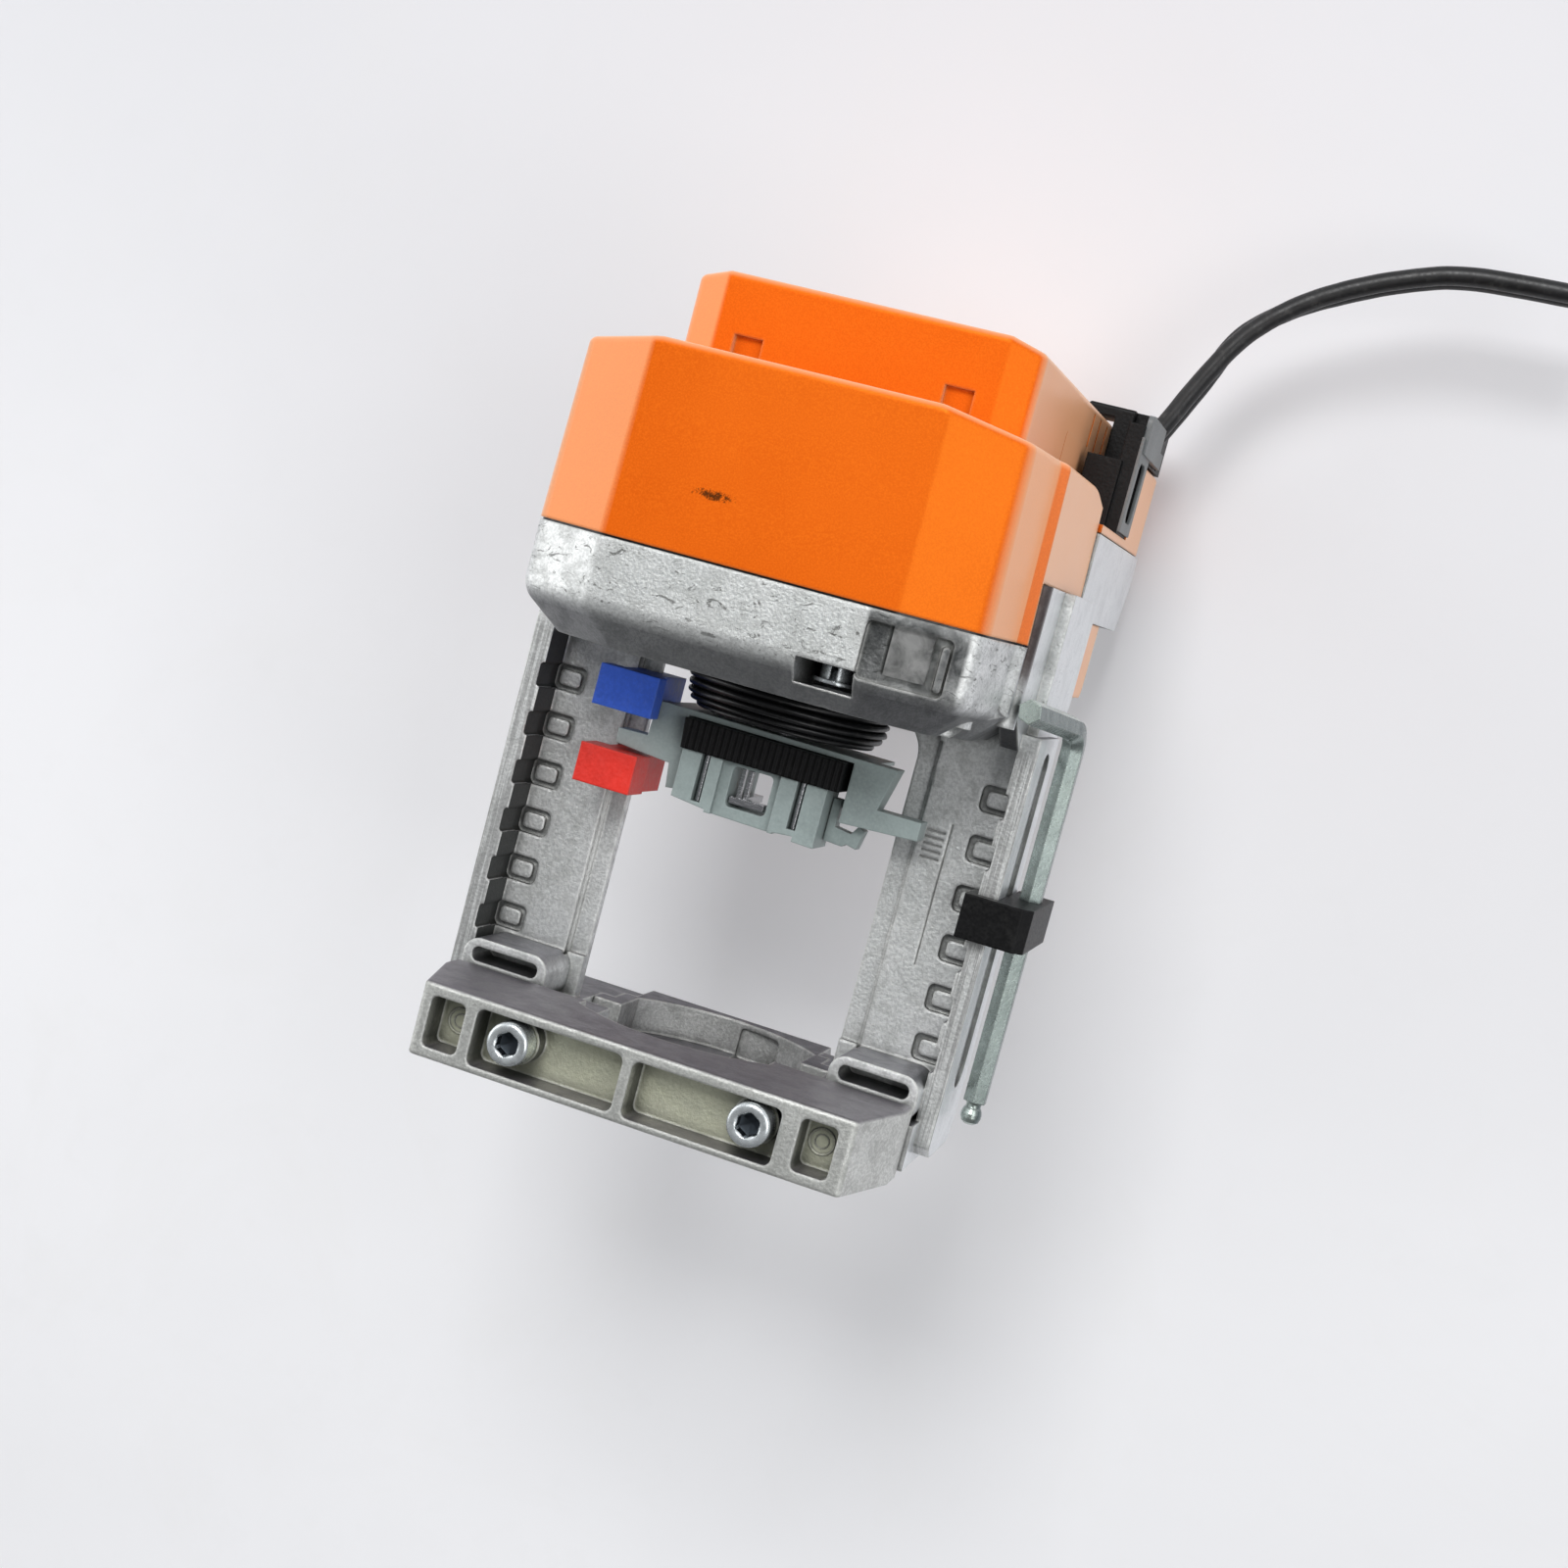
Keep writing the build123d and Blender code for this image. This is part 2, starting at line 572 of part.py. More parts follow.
def build_rear_cover():
    """Upper tier and low rear body in one piece."""
    with BuildPart() as cover:
        prism(at_z(REAR_COVER_Z), tier_plan(TIER_BACK), TIER_Z - REAR_COVER_Z)
        # falling top edges of the tier
        prism(
            at_y(130),
            symmetric([(60, 140), (60, 183.5), (TIER_HALF, 186), (TIER_FRONT_HALF, TIER_Z)]),
            160, Mode.INTERSECT,
        )
        uprights = cover.edges().filter_by(Axis.Z).group_by(Axis.Y)
        fillet(uprights[0] + uprights[1] + uprights[-1], radius=3.0)
        fillet(cover.edges().filter_by_position(Axis.Z, 184, 189), radius=COVER_EDGE)
        # low rear body
        with BuildSketch(at_z(REAR_COVER_Z)) as body_plan:
            with Locations((0, (31.6 + BODY_BACK) / 2)):
                Rectangle(2 * CASE_HALF, BODY_BACK - 31.6)
            fillet(body_plan.vertices().group_by(Axis.Y)[-1], radius=6.0)
        extrude(amount=BODY_Z - REAR_COVER_Z)
        rim = cover.edges().filter_by_position(Axis.Z, BODY_Z - 0.1, BODY_Z + 0.1)
        right_rim = rim.filter_by_position(Axis.X, 43, 57)
        left_rim = rim.filter_by_position(Axis.X, -57, -43)
        fillet(right_rim + left_rim, radius=1.4)
        # inside: the tier, the body, then the overhang behind the body
        tier_ceiling = TIER_Z - TIER_ROOF
        with BuildSketch(at_z(153)):
            with BuildLine():
                Polyline(*tier_plan(BODY_BACK), close=True)
            make_face()
            offset(amount=-COVER_WALL, kind=Kind.INTERSECTION)
        extrude(amount=tier_ceiling - 153, mode=CUT)
        front, back = 34.2, BODY_BACK - COVER_WALL
        blocks(at_z(153), (92.5, back - front), 172.8 - 153, [(-7.25, (front + back) / 2)], CUT)
        front, back = BODY_BACK - 3, TIER_BACK - COVER_WALL
        blocks(
            at_z(156.3), (78, back - front), tier_ceiling - 156.3, [(0, (front + back) / 2)], CUT
        )
        # seat on the front cover
        prism(at_y(31.5), roof_outline(0.1, 140, 70), 60, CUT)
        # tier walls carried down to the falling shoulder
        for s in (-1, 1):
            prism(
                at_x(s * (TIER_HALF - COVER_WALL)),
                [(12.5, 163.35), (31.5, 159.5), (31.5, 167), (12.5, 167)],
                s * COVER_WALL,
            )
        # clip notches in the front wall
        blocks(at_y(-22.5), (6.9, 6.2), -1.7, [(-25.1, 171.2), (25.1, 171.2)], CUT)
        # grip grooves on both sides of the tier
        grips = [(y, 178.6) for y in (66, 78, 91, 105)]
        for s in (-1, 1):
            blocks(at_x(s * TIER_HALF), (2.0, 11.8), -s * 0.9, grips, CUT)
        # recess for the cable entry at the right rear
        with BuildSketch(at_z(155.8)):
            with Locations((49.4, 54.8)):
                Rectangle(15.6, 46.6)
            with Locations((47.15, 94.5)):
                Rectangle(11.1, 33.4)
        extrude(amount=40, mode=CUT)
    return cover.part


def build_lower_cover():
    """Slotted cover under the tray."""
    centre_y = 59.5
    with BuildPart() as cover:
        blocks(at_z(113), (111, 37), WING_Z0 - 0.1 - 113, [(0, centre_y)])
        fillet(cover.edges().filter_by(Axis.X).group_by(Axis.Z)[0], radius=3.0)
        blocks(at_z(115.5), (106, 32), 30, [(0, centre_y)], CUT)
        cut_slots(at_z(110), 22, 2.4, 10, [(12 * k, centre_y) for k in range(-3, 4)])
    return cover.part


def build_gasket():
    """Seam gasket across the front."""
    with BuildPart() as gasket:
        with BuildSketch(at_z(SEAM_Z + 0.05)) as outer_plan:
            draw_case_plan(outer_plan, inset=0.6)
        extrude(amount=0.4)
        with BuildSketch(at_z(SEAM_Z - 1)) as inner_plan:
            draw_case_plan(inner_plan, inset=2.4)
        extrude(amount=3, mode=CUT)
        blocks(at_z(SEAM_Z - 1), (130, 81), 3, [(0, 11)], CUT)
    return gasket.part


def build_cover_screws():
    """Screws from below, heads in the counterbores of the gear case."""
    with BuildPart() as screws:
        stacked_discs(COVER_POSTS, (105.0, 3.4, 2.9), (107.5, 1.95, 28))
        hexagons(at_z(104.9), 1.5, 2.0, COVER_POSTS, CUT)
    return screws.part


# ---------------------------------------------------------------- spindle and coupling
def build_spindle():
    with BuildPart() as spindle:
        discs(at_z(81), SPINDLE_R, 72)
        discs(at_z(82.5), COLLAR_R, 3.0)
        chamfer(spindle.edges().filter_by(GeomType.CIRCLE).sort_by(Axis.Z)[-1], length=0.8)
    return spindle.part


# front outline (x, z) of the coupling frame
FRAME_FRONT = [
    (-27.3, 88.9), (32.4, 88.4), (29.9, 78.4), (40.7, 78.4), (40.7, 74.1), (22.0, 73.2),
    (22.0, 87.3), (-19.0, 87.5), (-17.9, 70.0), (-20.3, 69.7), (-21.0, 75.4), (-34.9, 76.6),
    (-35.1, 80.1), (-27.7, 80.3),
]
# outline (x, z) of the frame behind that
FRAME_REAR = [
    (-26.0, 88.8), (26.0, 88.3), (26.0, 87.4), (22.0, 87.4), (22.0, 76), (21.0, 76),
    (21.0, 87.4), (-19.0, 87.6), (-26.0, 87.6),
]
# front outline (x, z) of the coupling block
COUPLING_BLOCK = [
    (-17.6, 80.0), (-17.6, 68.6), (-9.0, 67.6), (-9.0, 67.0), (8.0, 66.6), (8.0, 67.0),
    (13.0, 67.4), (13.0, 66.2), (18.3, 66.0), (18.3, 80.0),
]
# front outline (x, z) of the latch finger
COUPLING_HOOK = [
    (18.6, 78.0), (20.6, 78.0), (20.6, 71.6), (24.6, 71.0), (26.0, 73.2), (27.6, 72.4),
    (26.6, 67.8), (24.0, 68.4), (23.2, 67.6), (18.6, 67.9),
]
PIN_LEFT_X, PIN_RIGHT_X = -11.6, 12.2  # coupling pins


def build_coupling_frame():
    with BuildPart() as frame:
        prism(at_y(-13), FRAME_FRONT, -7)
        prism(at_y(-6.5), FRAME_REAR, -18)
        discs(at_z(60), SPINDLE_R + RUN, 40, mode=CUT)
    return frame.part


def build_coupling_insert():
    with BuildPart() as insert:
        prism(at_y(-17), [(-18.6, 87.2), (-18.0, 80.1), (20.8, 80.1), (20.8, 87.0)], -28)
        # grooves that leave upright ribs on the front
        blocks(at_z(79), (0.7, 1.0), 10, [(-16.6 + 1.6 * k, -17.0) for k in range(24)], CUT)
        # bore for the spindle and room for its collar
        discs(at_z(79), SPINDLE_R + RUN, 10, mode=CUT)
        discs(at_z(82.4), COLLAR_R + 0.1, 3.2, mode=CUT)
    return insert.part


def build_coupling_block():
    with BuildPart() as block:
        prism(at_y(-16), COUPLING_BLOCK, -25)
        # recessed middle panel, then the see-through window
        blocks(at_y(-17), (14.4, 20), -2.6, [(-0.3, 73.4)], CUT)
        rounded_blocks(at_y(-17), (10.0, 9.6), 1.2, -40, [(0.0, 74.4)], CUT)
        # side cheeks end ahead of the axis
        blocks(at_z(60), (11.0, 14.0), 30, [(15.0, 3.0), (-15.0, 3.0)], CUT)
        # stem socket from below
        discs(at_z(60), 7.0, 12, mode=CUT)
        # two upright slots for the pins
        blocks(at_z(68.8), (2.2, 5.0), 20, [(PIN_LEFT_X, -15.0), (PIN_RIGHT_X, -15.0)], CUT)
    return block.part


def build_coupling_pins():
    with BuildPart() as pins:
        discs(at_z(68.9), 0.75, 11.0, [(PIN_LEFT_X, -14.0), (PIN_RIGHT_X, -14.0)])
    return pins.part


def build_stem_latch():
    """Sprung fork that closes round the valve stem groove, with two upright posts."""
    with BuildPart() as latch:
        prism(
            at_z(70.4),
            [(-4.7, -12.8), (3.9, -12.8), (3.9, -9.6), (-2.2, -9.6), (-2.2, 7.6), (-4.7, 7.6)],
            1.6,
        )
        blocks(at_z(70.4), (1.0, 1.6), 8.4, [(-3.8, -8.4), (-1.4, -10.6)])
    return latch.part


def build_coupling_hook():
    """Latch finger at the lower right of the coupling."""
    with BuildPart() as hook:
        prism(at_y(-9), COUPLING_HOOK, -4)
    return hook.part


# half section (radius, z) of the pleated bellows
BELLOWS = [
    (15.0, 98.9), (24.2, 98.9), (24.6, 97.6), (21.0, 96.8), (24.4, 95.7), (20.6, 94.9),
    (23.6, 93.6), (19.6, 92.7), (22.0, 91.6), (18.6, 90.8), (18.4, 89.2), (8.0, 89.2),
    (8.0, 90.4), (16.8, 90.6), (17.6, 92.0), (18.4, 93.4), (19.2, 95.4), (19.4, 97.4),
    (15.0, 97.6),
]


def build_bellows():
    with BuildPart() as bellows:
        with BuildSketch(Plane.XZ):
            with BuildLine():
                Polyline(*BELLOWS, close=True)
            make_face()
        revolve(axis=Axis.Z)
    return bellows.part


# ---------------------------------------------------------------- clipped-on parts
def build_stroke_tab(bottom, height, nose_x, nose_y, arm_y):
    """Tab clipped on the left column; nose_x, nose_y and arm_y bound its front head."""
    with BuildPart() as tab:
        prism(
            at_z(bottom),
            [
                (-41, -19), (nose_x, -19), (nose_x, nose_y), (-28.2, nose_y), (-28.2, 7),
                (-37.5, 7), (-37.5, 3.2), (-32.8, 3.2), (-32.8, 0.6), (-37.5, 0.6),
                (-37.5, arm_y), (-41, arm_y),
            ],
            height,
        )
    return tab.part


# half section (radius, z) of the key's ball end
BALL_END = [
    (0, 18.0), (2.3, 18.0), (1.75, 16.9), (1.75, 16.2), (2.1, 15.8), (2.45, 14.7),
    (2.45, 13.7), (2.1, 12.7), (1.3, 12.1), (0, 12.0),
]


def build_hex_key():
    foot = (KEY_X, KEY_Y, KEY_BOTTOM)
    with BuildPart() as key:
        with BuildLine():
            FilletPolyline(foot, (KEY_X, KEY_Y, KEY_TOP), KEY_END, radius=5.5)
        with BuildSketch(Plane(origin=foot, x_dir=(0, 1, 0), z_dir=(0, 0, 1))):
            RegularPolygon(2.5, 6, major_radius=False)
        sweep()
        with BuildSketch(Plane(origin=(KEY_X, KEY_Y, 0), x_dir=(1, 0, 0), z_dir=(0, -1, 0))):
            with BuildLine():
                Polyline(*BALL_END, close=True)
            make_face()
        revolve(axis=Axis((KEY_X, KEY_Y, 0), (0, 0, 1)))
    return key.part


def build_key_clip():
    """Clip round the right column flange that holds the key."""
    with BuildPart() as clip:
        with BuildSketch(at_z(56.3)):
            with BuildLine():
                Polyline(
                    (55.0, -16), (68.6, -16), (70.8, -13.5), (70.8, 17.5), (62.15, 17.5),
                    (62.15, -12.15), (57.15, -12.15), (57.15, -4), (55.0, -4), close=True,
                )
            make_face()
            with Locations((KEY_X, KEY_Y)):
                RegularPolygon(2.5 + RUN, 6, major_radius=False, rotation=30, mode=CUT)
        extrude(amount=10.2)
    return clip.part


# ---------------------------------------------------------------- drive train
def build_nut_gear():
    with BuildPart() as gear:
        discs(at_z(101.2), COLLAR_R, 27)
        wheel_teeth(NUT_Z, NUT_WIDTH, NUT_MODULE, (0, 0))
        discs(at_z(100), SPINDLE_R + RUN, 30, mode=CUT)
    return gear.part


def build_double_wheel(axis, driven_axis, pinion, wheel):
    """Wheel with a pinion below it; pinion and wheel are (bottom, width, module)."""
    with BuildPart() as gear:
        discs(at_z(105.2), 3.2, 17.8, [axis])
        pinion_teeth(*pinion, axis, driven_axis)
        wheel_teeth(*wheel, axis)
        discs(at_z(100), PIN_R + RUN, 30, [axis], CUT)
    return gear.part


def build_gear_pins():
    with BuildPart() as pins:
        discs(at_z(102.2), PIN_R, 23.6, [AXIS_A, AXIS_B])
    return pins.part


def build_motor_pinion():
    with BuildPart() as pinion:
        discs(at_z(117.6), MOTOR_SHAFT_R, 16, [MOTOR])
        pinion_teeth(FAST_Z, 3.6, FAST_MODULE, MOTOR, AXIS_A)
    return pinion.part


def build_motor():
    with BuildPart() as motor:
        discs(at_z(126.1), 13.5, 28, [MOTOR])
        chamfer(motor.edges().filter_by(GeomType.CIRCLE).sort_by(Axis.Z)[-1], length=1.0)
        discs(at_z(154.1), 4.0, 2.0, [MOTOR])
        # shaft hole and screw holes from below
        discs(at_z(126), MOTOR_SHAFT_R + RUN, 9, [MOTOR], CUT)
        discs(at_z(126), 1.3, 5, MOTOR_HOLES, CUT)
    return motor.part


def build_motor_screws():
    with BuildPart() as screws:
        stacked_discs(MOTOR_HOLES, (122.3, 2.2, 1.6), (123.5, 1.25, 7))
        cut_crosses(122.2, 3.0, 0.9, MOTOR_HOLES)
    return screws.part


def build_manual_shaft():
    """Slotted hexagon-socket head in the window, shaft and pinion above."""
    with BuildPart() as shaft:
        stacked_discs(
            [MANUAL], (105.2, 4.9, 0.8), (106.0, 3.6, 3.1), (109.0, MANUAL_SHAFT_R, 14.4)
        )
        pinion_teeth(FAST_Z, FAST_WIDTH, FAST_MODULE, MANUAL, AXIS_A)
        blocks(at_z(106.0), (1.5, 9.0), 3.0, [MANUAL], CUT)
        hexagons(at_z(105), 2.52, 3.0, [MANUAL], CUT)
    return shaft.part


def build_gear_plate():
    holes = [  # (radius, places)
        (BUSH_R + RUN, [(0, 0)]),
        (3.2, [MOTOR]),
        (PIN_R + RUN, [AXIS_A, AXIS_B, *PILLARS]),
        (1.35, MOTOR_HOLES),
        (2.7, [MANUAL]),
    ]
    with BuildPart() as plate:
        prism(
            at_z(124.05),
            symmetric([(30, -55), (40, -45), (40, -30), (26, -14), (40, 8), (40, 21)]),
            1.95,
        )
        with BuildSketch(at_z(120)):
            for radius, places in holes:
                with Locations(*places):
                    Circle(radius)
        extrude(amount=10, mode=CUT)
    return plate.part


def build_plate_screws():
    with BuildPart() as screws:
        stacked_discs(PILLARS, (126.05, 2.75, 2.2), (114, 1.5, 12.5))
        hexagons(at_z(127.0), 1.25, 2.0, PILLARS, CUT)
    return screws.part


def build_bush(*rings):
    """Nut gear bush; each ring is (bottom, outer radius, height)."""
    with BuildPart() as bush:
        for bottom, radius, height in rings:
            with BuildSketch(at_z(bottom)):
                Circle(radius)
                Circle(COLLAR_R + RUN, mode=CUT)
            extrude(amount=height)
    return bush.part


# ---------------------------------------------------------------- electronics
BOARD_Z = 142.05  # underside of the circuit board
PARTS_Z = 143.7  # underside of the parts on the board


def build_circuit_board():
    with BuildPart() as board:
        with BuildSketch(at_z(BOARD_Z)):
            with Locations((0, 75)):
                Rectangle(100, 70)
            with Locations(*BOARD_POSTS):
                Circle(1.35, mode=CUT)
        extrude(amount=1.6)
    return board.part


def build_board_screws():
    with BuildPart() as screws:
        stacked_discs(BOARD_POSTS, (PARTS_Z, 2.4, 1.8), (138, 1.25, 6))
        cut_crosses(144.7, 3.4, 2, BOARD_POSTS)
    return screws.part


def build_terminal_block():
    poles = [2 + 5.3 * k for k in range(7)]
    with BuildPart() as terminals:
        blocks(at_z(PARTS_Z), (40, 9), 11, [(18, 98)])
        # screw holes from above, wire openings at the front
        discs(at_z(150), 1.8, 10, [(x, 98) for x in poles], CUT)
        blocks(at_y(93.4), (3.6, 3.6), -4, [(x, 147.2) for x in poles], CUT)
    return terminals.part


def build_capacitors():
    with BuildPart() as capacitors:
        discs(at_z(PARTS_Z), 6.2, 18, [(-30, 60), (-30, 76)])
        tops = capacitors.edges().filter_by(GeomType.CIRCLE).group_by(Axis.Z)[-1]
        chamfer(tops, length=0.8)
    return capacitors.part


def build_transformer():
    with BuildPart() as transformer:
        for bottom, size, height in (
            (PARTS_Z, (26, 22), 4), (PARTS_Z + 4, (20, 22), 13), (PARTS_Z + 4, (26, 12), 10),
        ):
            blocks(at_z(bottom), size, height, [(2, 62)])
    return transformer.part


def build_motor_lead():
    start = (MOTOR[0] - 13.9, MOTOR[1], 148.0)
    with BuildPart() as lead:
        with BuildLine():
            Spline(
                start, (-33.0, -30.0, 149.0), (-30.0, 5.0, 149.5), (-20.0, 43.5, 145.2),
                tangents=((-1, 0, 0), (0, 0.3, -1)),
            )
        with BuildSketch(Plane(origin=start, z_dir=(-1, 0, 0))):
            Circle(1.2)
        sweep()
    return lead.part


# ---------------------------------------------------------------- cable entry
POST_Y = 68.5  # middle of the post and of the slotted plate
# (bottom z, (x size, y size), height, centre)
GLAND_BLOCKS = [
    (156.0, (9.0, 36.0), 18.0, (48.1, 75.0)),  # seat in the channel
    (156.0, (4.1, 19.0), 28.0, (53.6, POST_Y)),  # post along the outer wall
    (160.0, (5.0, 17.0), 14.0, (51.0, POST_Y)),  # link from seat to post
    (176.3, (4.0, 28.0), 7.7, (53.6, 85.0)),  # upper bar
    (176.3, (13.8, 14.0), 14.8, (48.7, 105.0)),  # bridge over the wall
    (188.2, (11.8, 14.0), 2.9, (39.9, 105.0)),  # lip on the roof
]


def build_cable_gland():
    with BuildPart() as gland:
        for bottom, size, height, centre in GLAND_BLOCKS:
            blocks(at_z(bottom), size, height, [centre])
        fillet(gland.edges().filter_by_position(Axis.Z, 191.0, 191.2), radius=0.8)
        # way out for the two cables
        blocks(at_z(177.0), (14.4, 11.6), 20.0, [(54.0, 97.0)], CUT)
        # opening in the post behind the slotted plate
        rounded_blocks(at_x(57), (11.6, 16.0), 2.0, -6.0, [(POST_Y, 167.2)], CUT)
    return gland.part


def build_strain_relief():
    """Slotted plate on the outside of the gland, with a bar on top."""
    with BuildPart() as relief:
        blocks(at_z(156.6), (0.8, 19.0), 24.4, [(56.1, POST_Y)])
        blocks(at_z(177.0), (1.4, 37.0), 10.0, [(56.4, 79.5)])
        fillet(relief.edges().filter_by(Axis.X).group_by(Axis.Z)[-1], radius=2.0)
        # slot in the plate, then clearance for the cables
        rounded_blocks(at_x(60), (11.0, 15.5), 2.6, -10, [(POST_Y, 167.2)], CUT)
        blocks(at_z(181.0), (12.0, 11.6), 20.0, [(54.0, 97.0)], CUT)
    return relief.part


def build_cable(y, bow):
    """Cable rising to the right; bow shifts one point of its curve."""
    start, heading = (50.2, y, 178.5), (0.42, 0, 0.9)
    with BuildPart() as cable:
        with BuildLine():
            Spline(
                start, (55.0, y, 187.5), (69.5 - bow, y, 215.5 + bow * 0.5), (91.2, y, 232.9),
                (121.8, y, 243.6), (150.0, y, 244.6),
                tangents=(heading, (1, 0, -0.06)),
            )
        with BuildSketch(Plane(origin=start, z_dir=heading)):
            Circle(2.55)
        sweep()
    return cable.part


# ---------------------------------------------------------------- write one file per piece
PIECES = {
    "housing_casting": build_casting(),
    "rear_jaw": build_rear_jaw(),
    "clamp_bar": build_clamp_bar(),
    "clamp_screw_left": build_clamp_screw(-1),
    "clamp_screw_right": build_clamp_screw(1),
    "front_cover": build_front_cover(),
    "rear_cover": build_rear_cover(),
    "lower_cover": build_lower_cover(),
    "cover_gasket": build_gasket(),
    "cover_screws": build_cover_screws(),
    "spindle": build_spindle(),
    "coupling_frame": build_coupling_frame(),
    "coupling_insert": build_coupling_insert(),
    "coupling_block": build_coupling_block(),
    "coupling_pins": build_coupling_pins(),
    "stem_latch": build_stem_latch(),
    "coupling_hook": build_coupling_hook(),
    "bellows": build_bellows(),
    "blue_tab": build_stroke_tab(84.5, 9.7, nose_x=-26.2, nose_y=-13.4, arm_y=-12.0),
    "red_tab": build_stroke_tab(66.0, 9.2, nose_x=-26.8, nose_y=-9.0, arm_y=-9.0),
    "hex_key": build_hex_key(),
    "key_clip": build_key_clip(),
    "nut_gear": build_nut_gear(),
    "wheel_b": build_double_wheel(
        AXIS_B, (0, 0),
        pinion=(NUT_Z, NUT_WIDTH, NUT_MODULE), wheel=(MID_Z, MID_WIDTH, MID_MODULE),
    ),
    "wheel_a": build_double_wheel(
        AXIS_A, AXIS_B,
        pinion=(MID_Z, MID_WIDTH, MID_MODULE), wheel=(FAST_Z, FAST_WIDTH, FAST_MODULE),
    ),
    "gear_pins": build_gear_pins(),
    "motor_pinion": build_motor_pinion(),
    "motor": build_motor(),
    "motor_screws": build_motor_screws(),
    "manual_shaft": build_manual_shaft(),
    "gear_plate": build_gear_plate(),
    "plate_screws": build_plate_screws(),
    "bush_lower": build_bush((101.05, BUSH_R, 6.3)),
    "bush_upper": build_bush((123.9, BUSH_R, 3.4), (126.05, 14.5, 1.25)),
    "circuit_board": build_circuit_board(),
    "board_screws": build_board_screws(),
    "terminal_block": build_terminal_block(),
    "capacitors": build_capacitors(),
    "transformer": build_transformer(),
    "cable_gland": build_cable_gland(),
    "strain_relief": build_strain_relief(),
    "cable_a": build_cable(94.2, bow=0.0),
    "cable_b": build_cable(99.7, bow=1.4),
    "motor_lead": build_motor_lead(),
}

for name, piece in PIECES.items():
    piece.label = name
    export_step(piece, "parts/" + name + ".step")
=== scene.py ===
# Valve actuator with an orange cover, a cast clamp frame and bar, rubber bellows and two cables.
# Metres, +Z up along the stem, -Y is the front and faces the camera, +X is right seen from there.
# The CAD pieces keep their shape and get materials; bellows, clamp screws and cables are rebuilt.
import math
import random
from functools import cached_property

import bmesh
import bpy
from mathutils import Matrix, Vector


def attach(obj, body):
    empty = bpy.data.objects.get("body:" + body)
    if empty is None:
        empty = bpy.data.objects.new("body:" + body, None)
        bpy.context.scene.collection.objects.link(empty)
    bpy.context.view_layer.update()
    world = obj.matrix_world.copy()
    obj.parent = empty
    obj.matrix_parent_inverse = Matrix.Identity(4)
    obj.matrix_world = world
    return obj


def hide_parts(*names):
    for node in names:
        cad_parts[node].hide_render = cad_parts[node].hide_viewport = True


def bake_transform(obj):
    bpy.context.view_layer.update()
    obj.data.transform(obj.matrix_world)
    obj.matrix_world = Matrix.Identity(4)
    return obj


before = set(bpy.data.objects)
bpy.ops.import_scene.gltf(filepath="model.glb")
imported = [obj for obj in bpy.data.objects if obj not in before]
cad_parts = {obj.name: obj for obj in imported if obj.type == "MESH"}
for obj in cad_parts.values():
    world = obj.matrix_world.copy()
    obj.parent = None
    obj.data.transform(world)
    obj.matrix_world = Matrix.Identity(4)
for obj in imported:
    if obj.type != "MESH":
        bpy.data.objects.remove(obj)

random.seed(7)  # nothing below draws; this only fixes the state of the shared generator
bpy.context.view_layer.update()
SCENE = bpy.context.scene
MM = 0.001


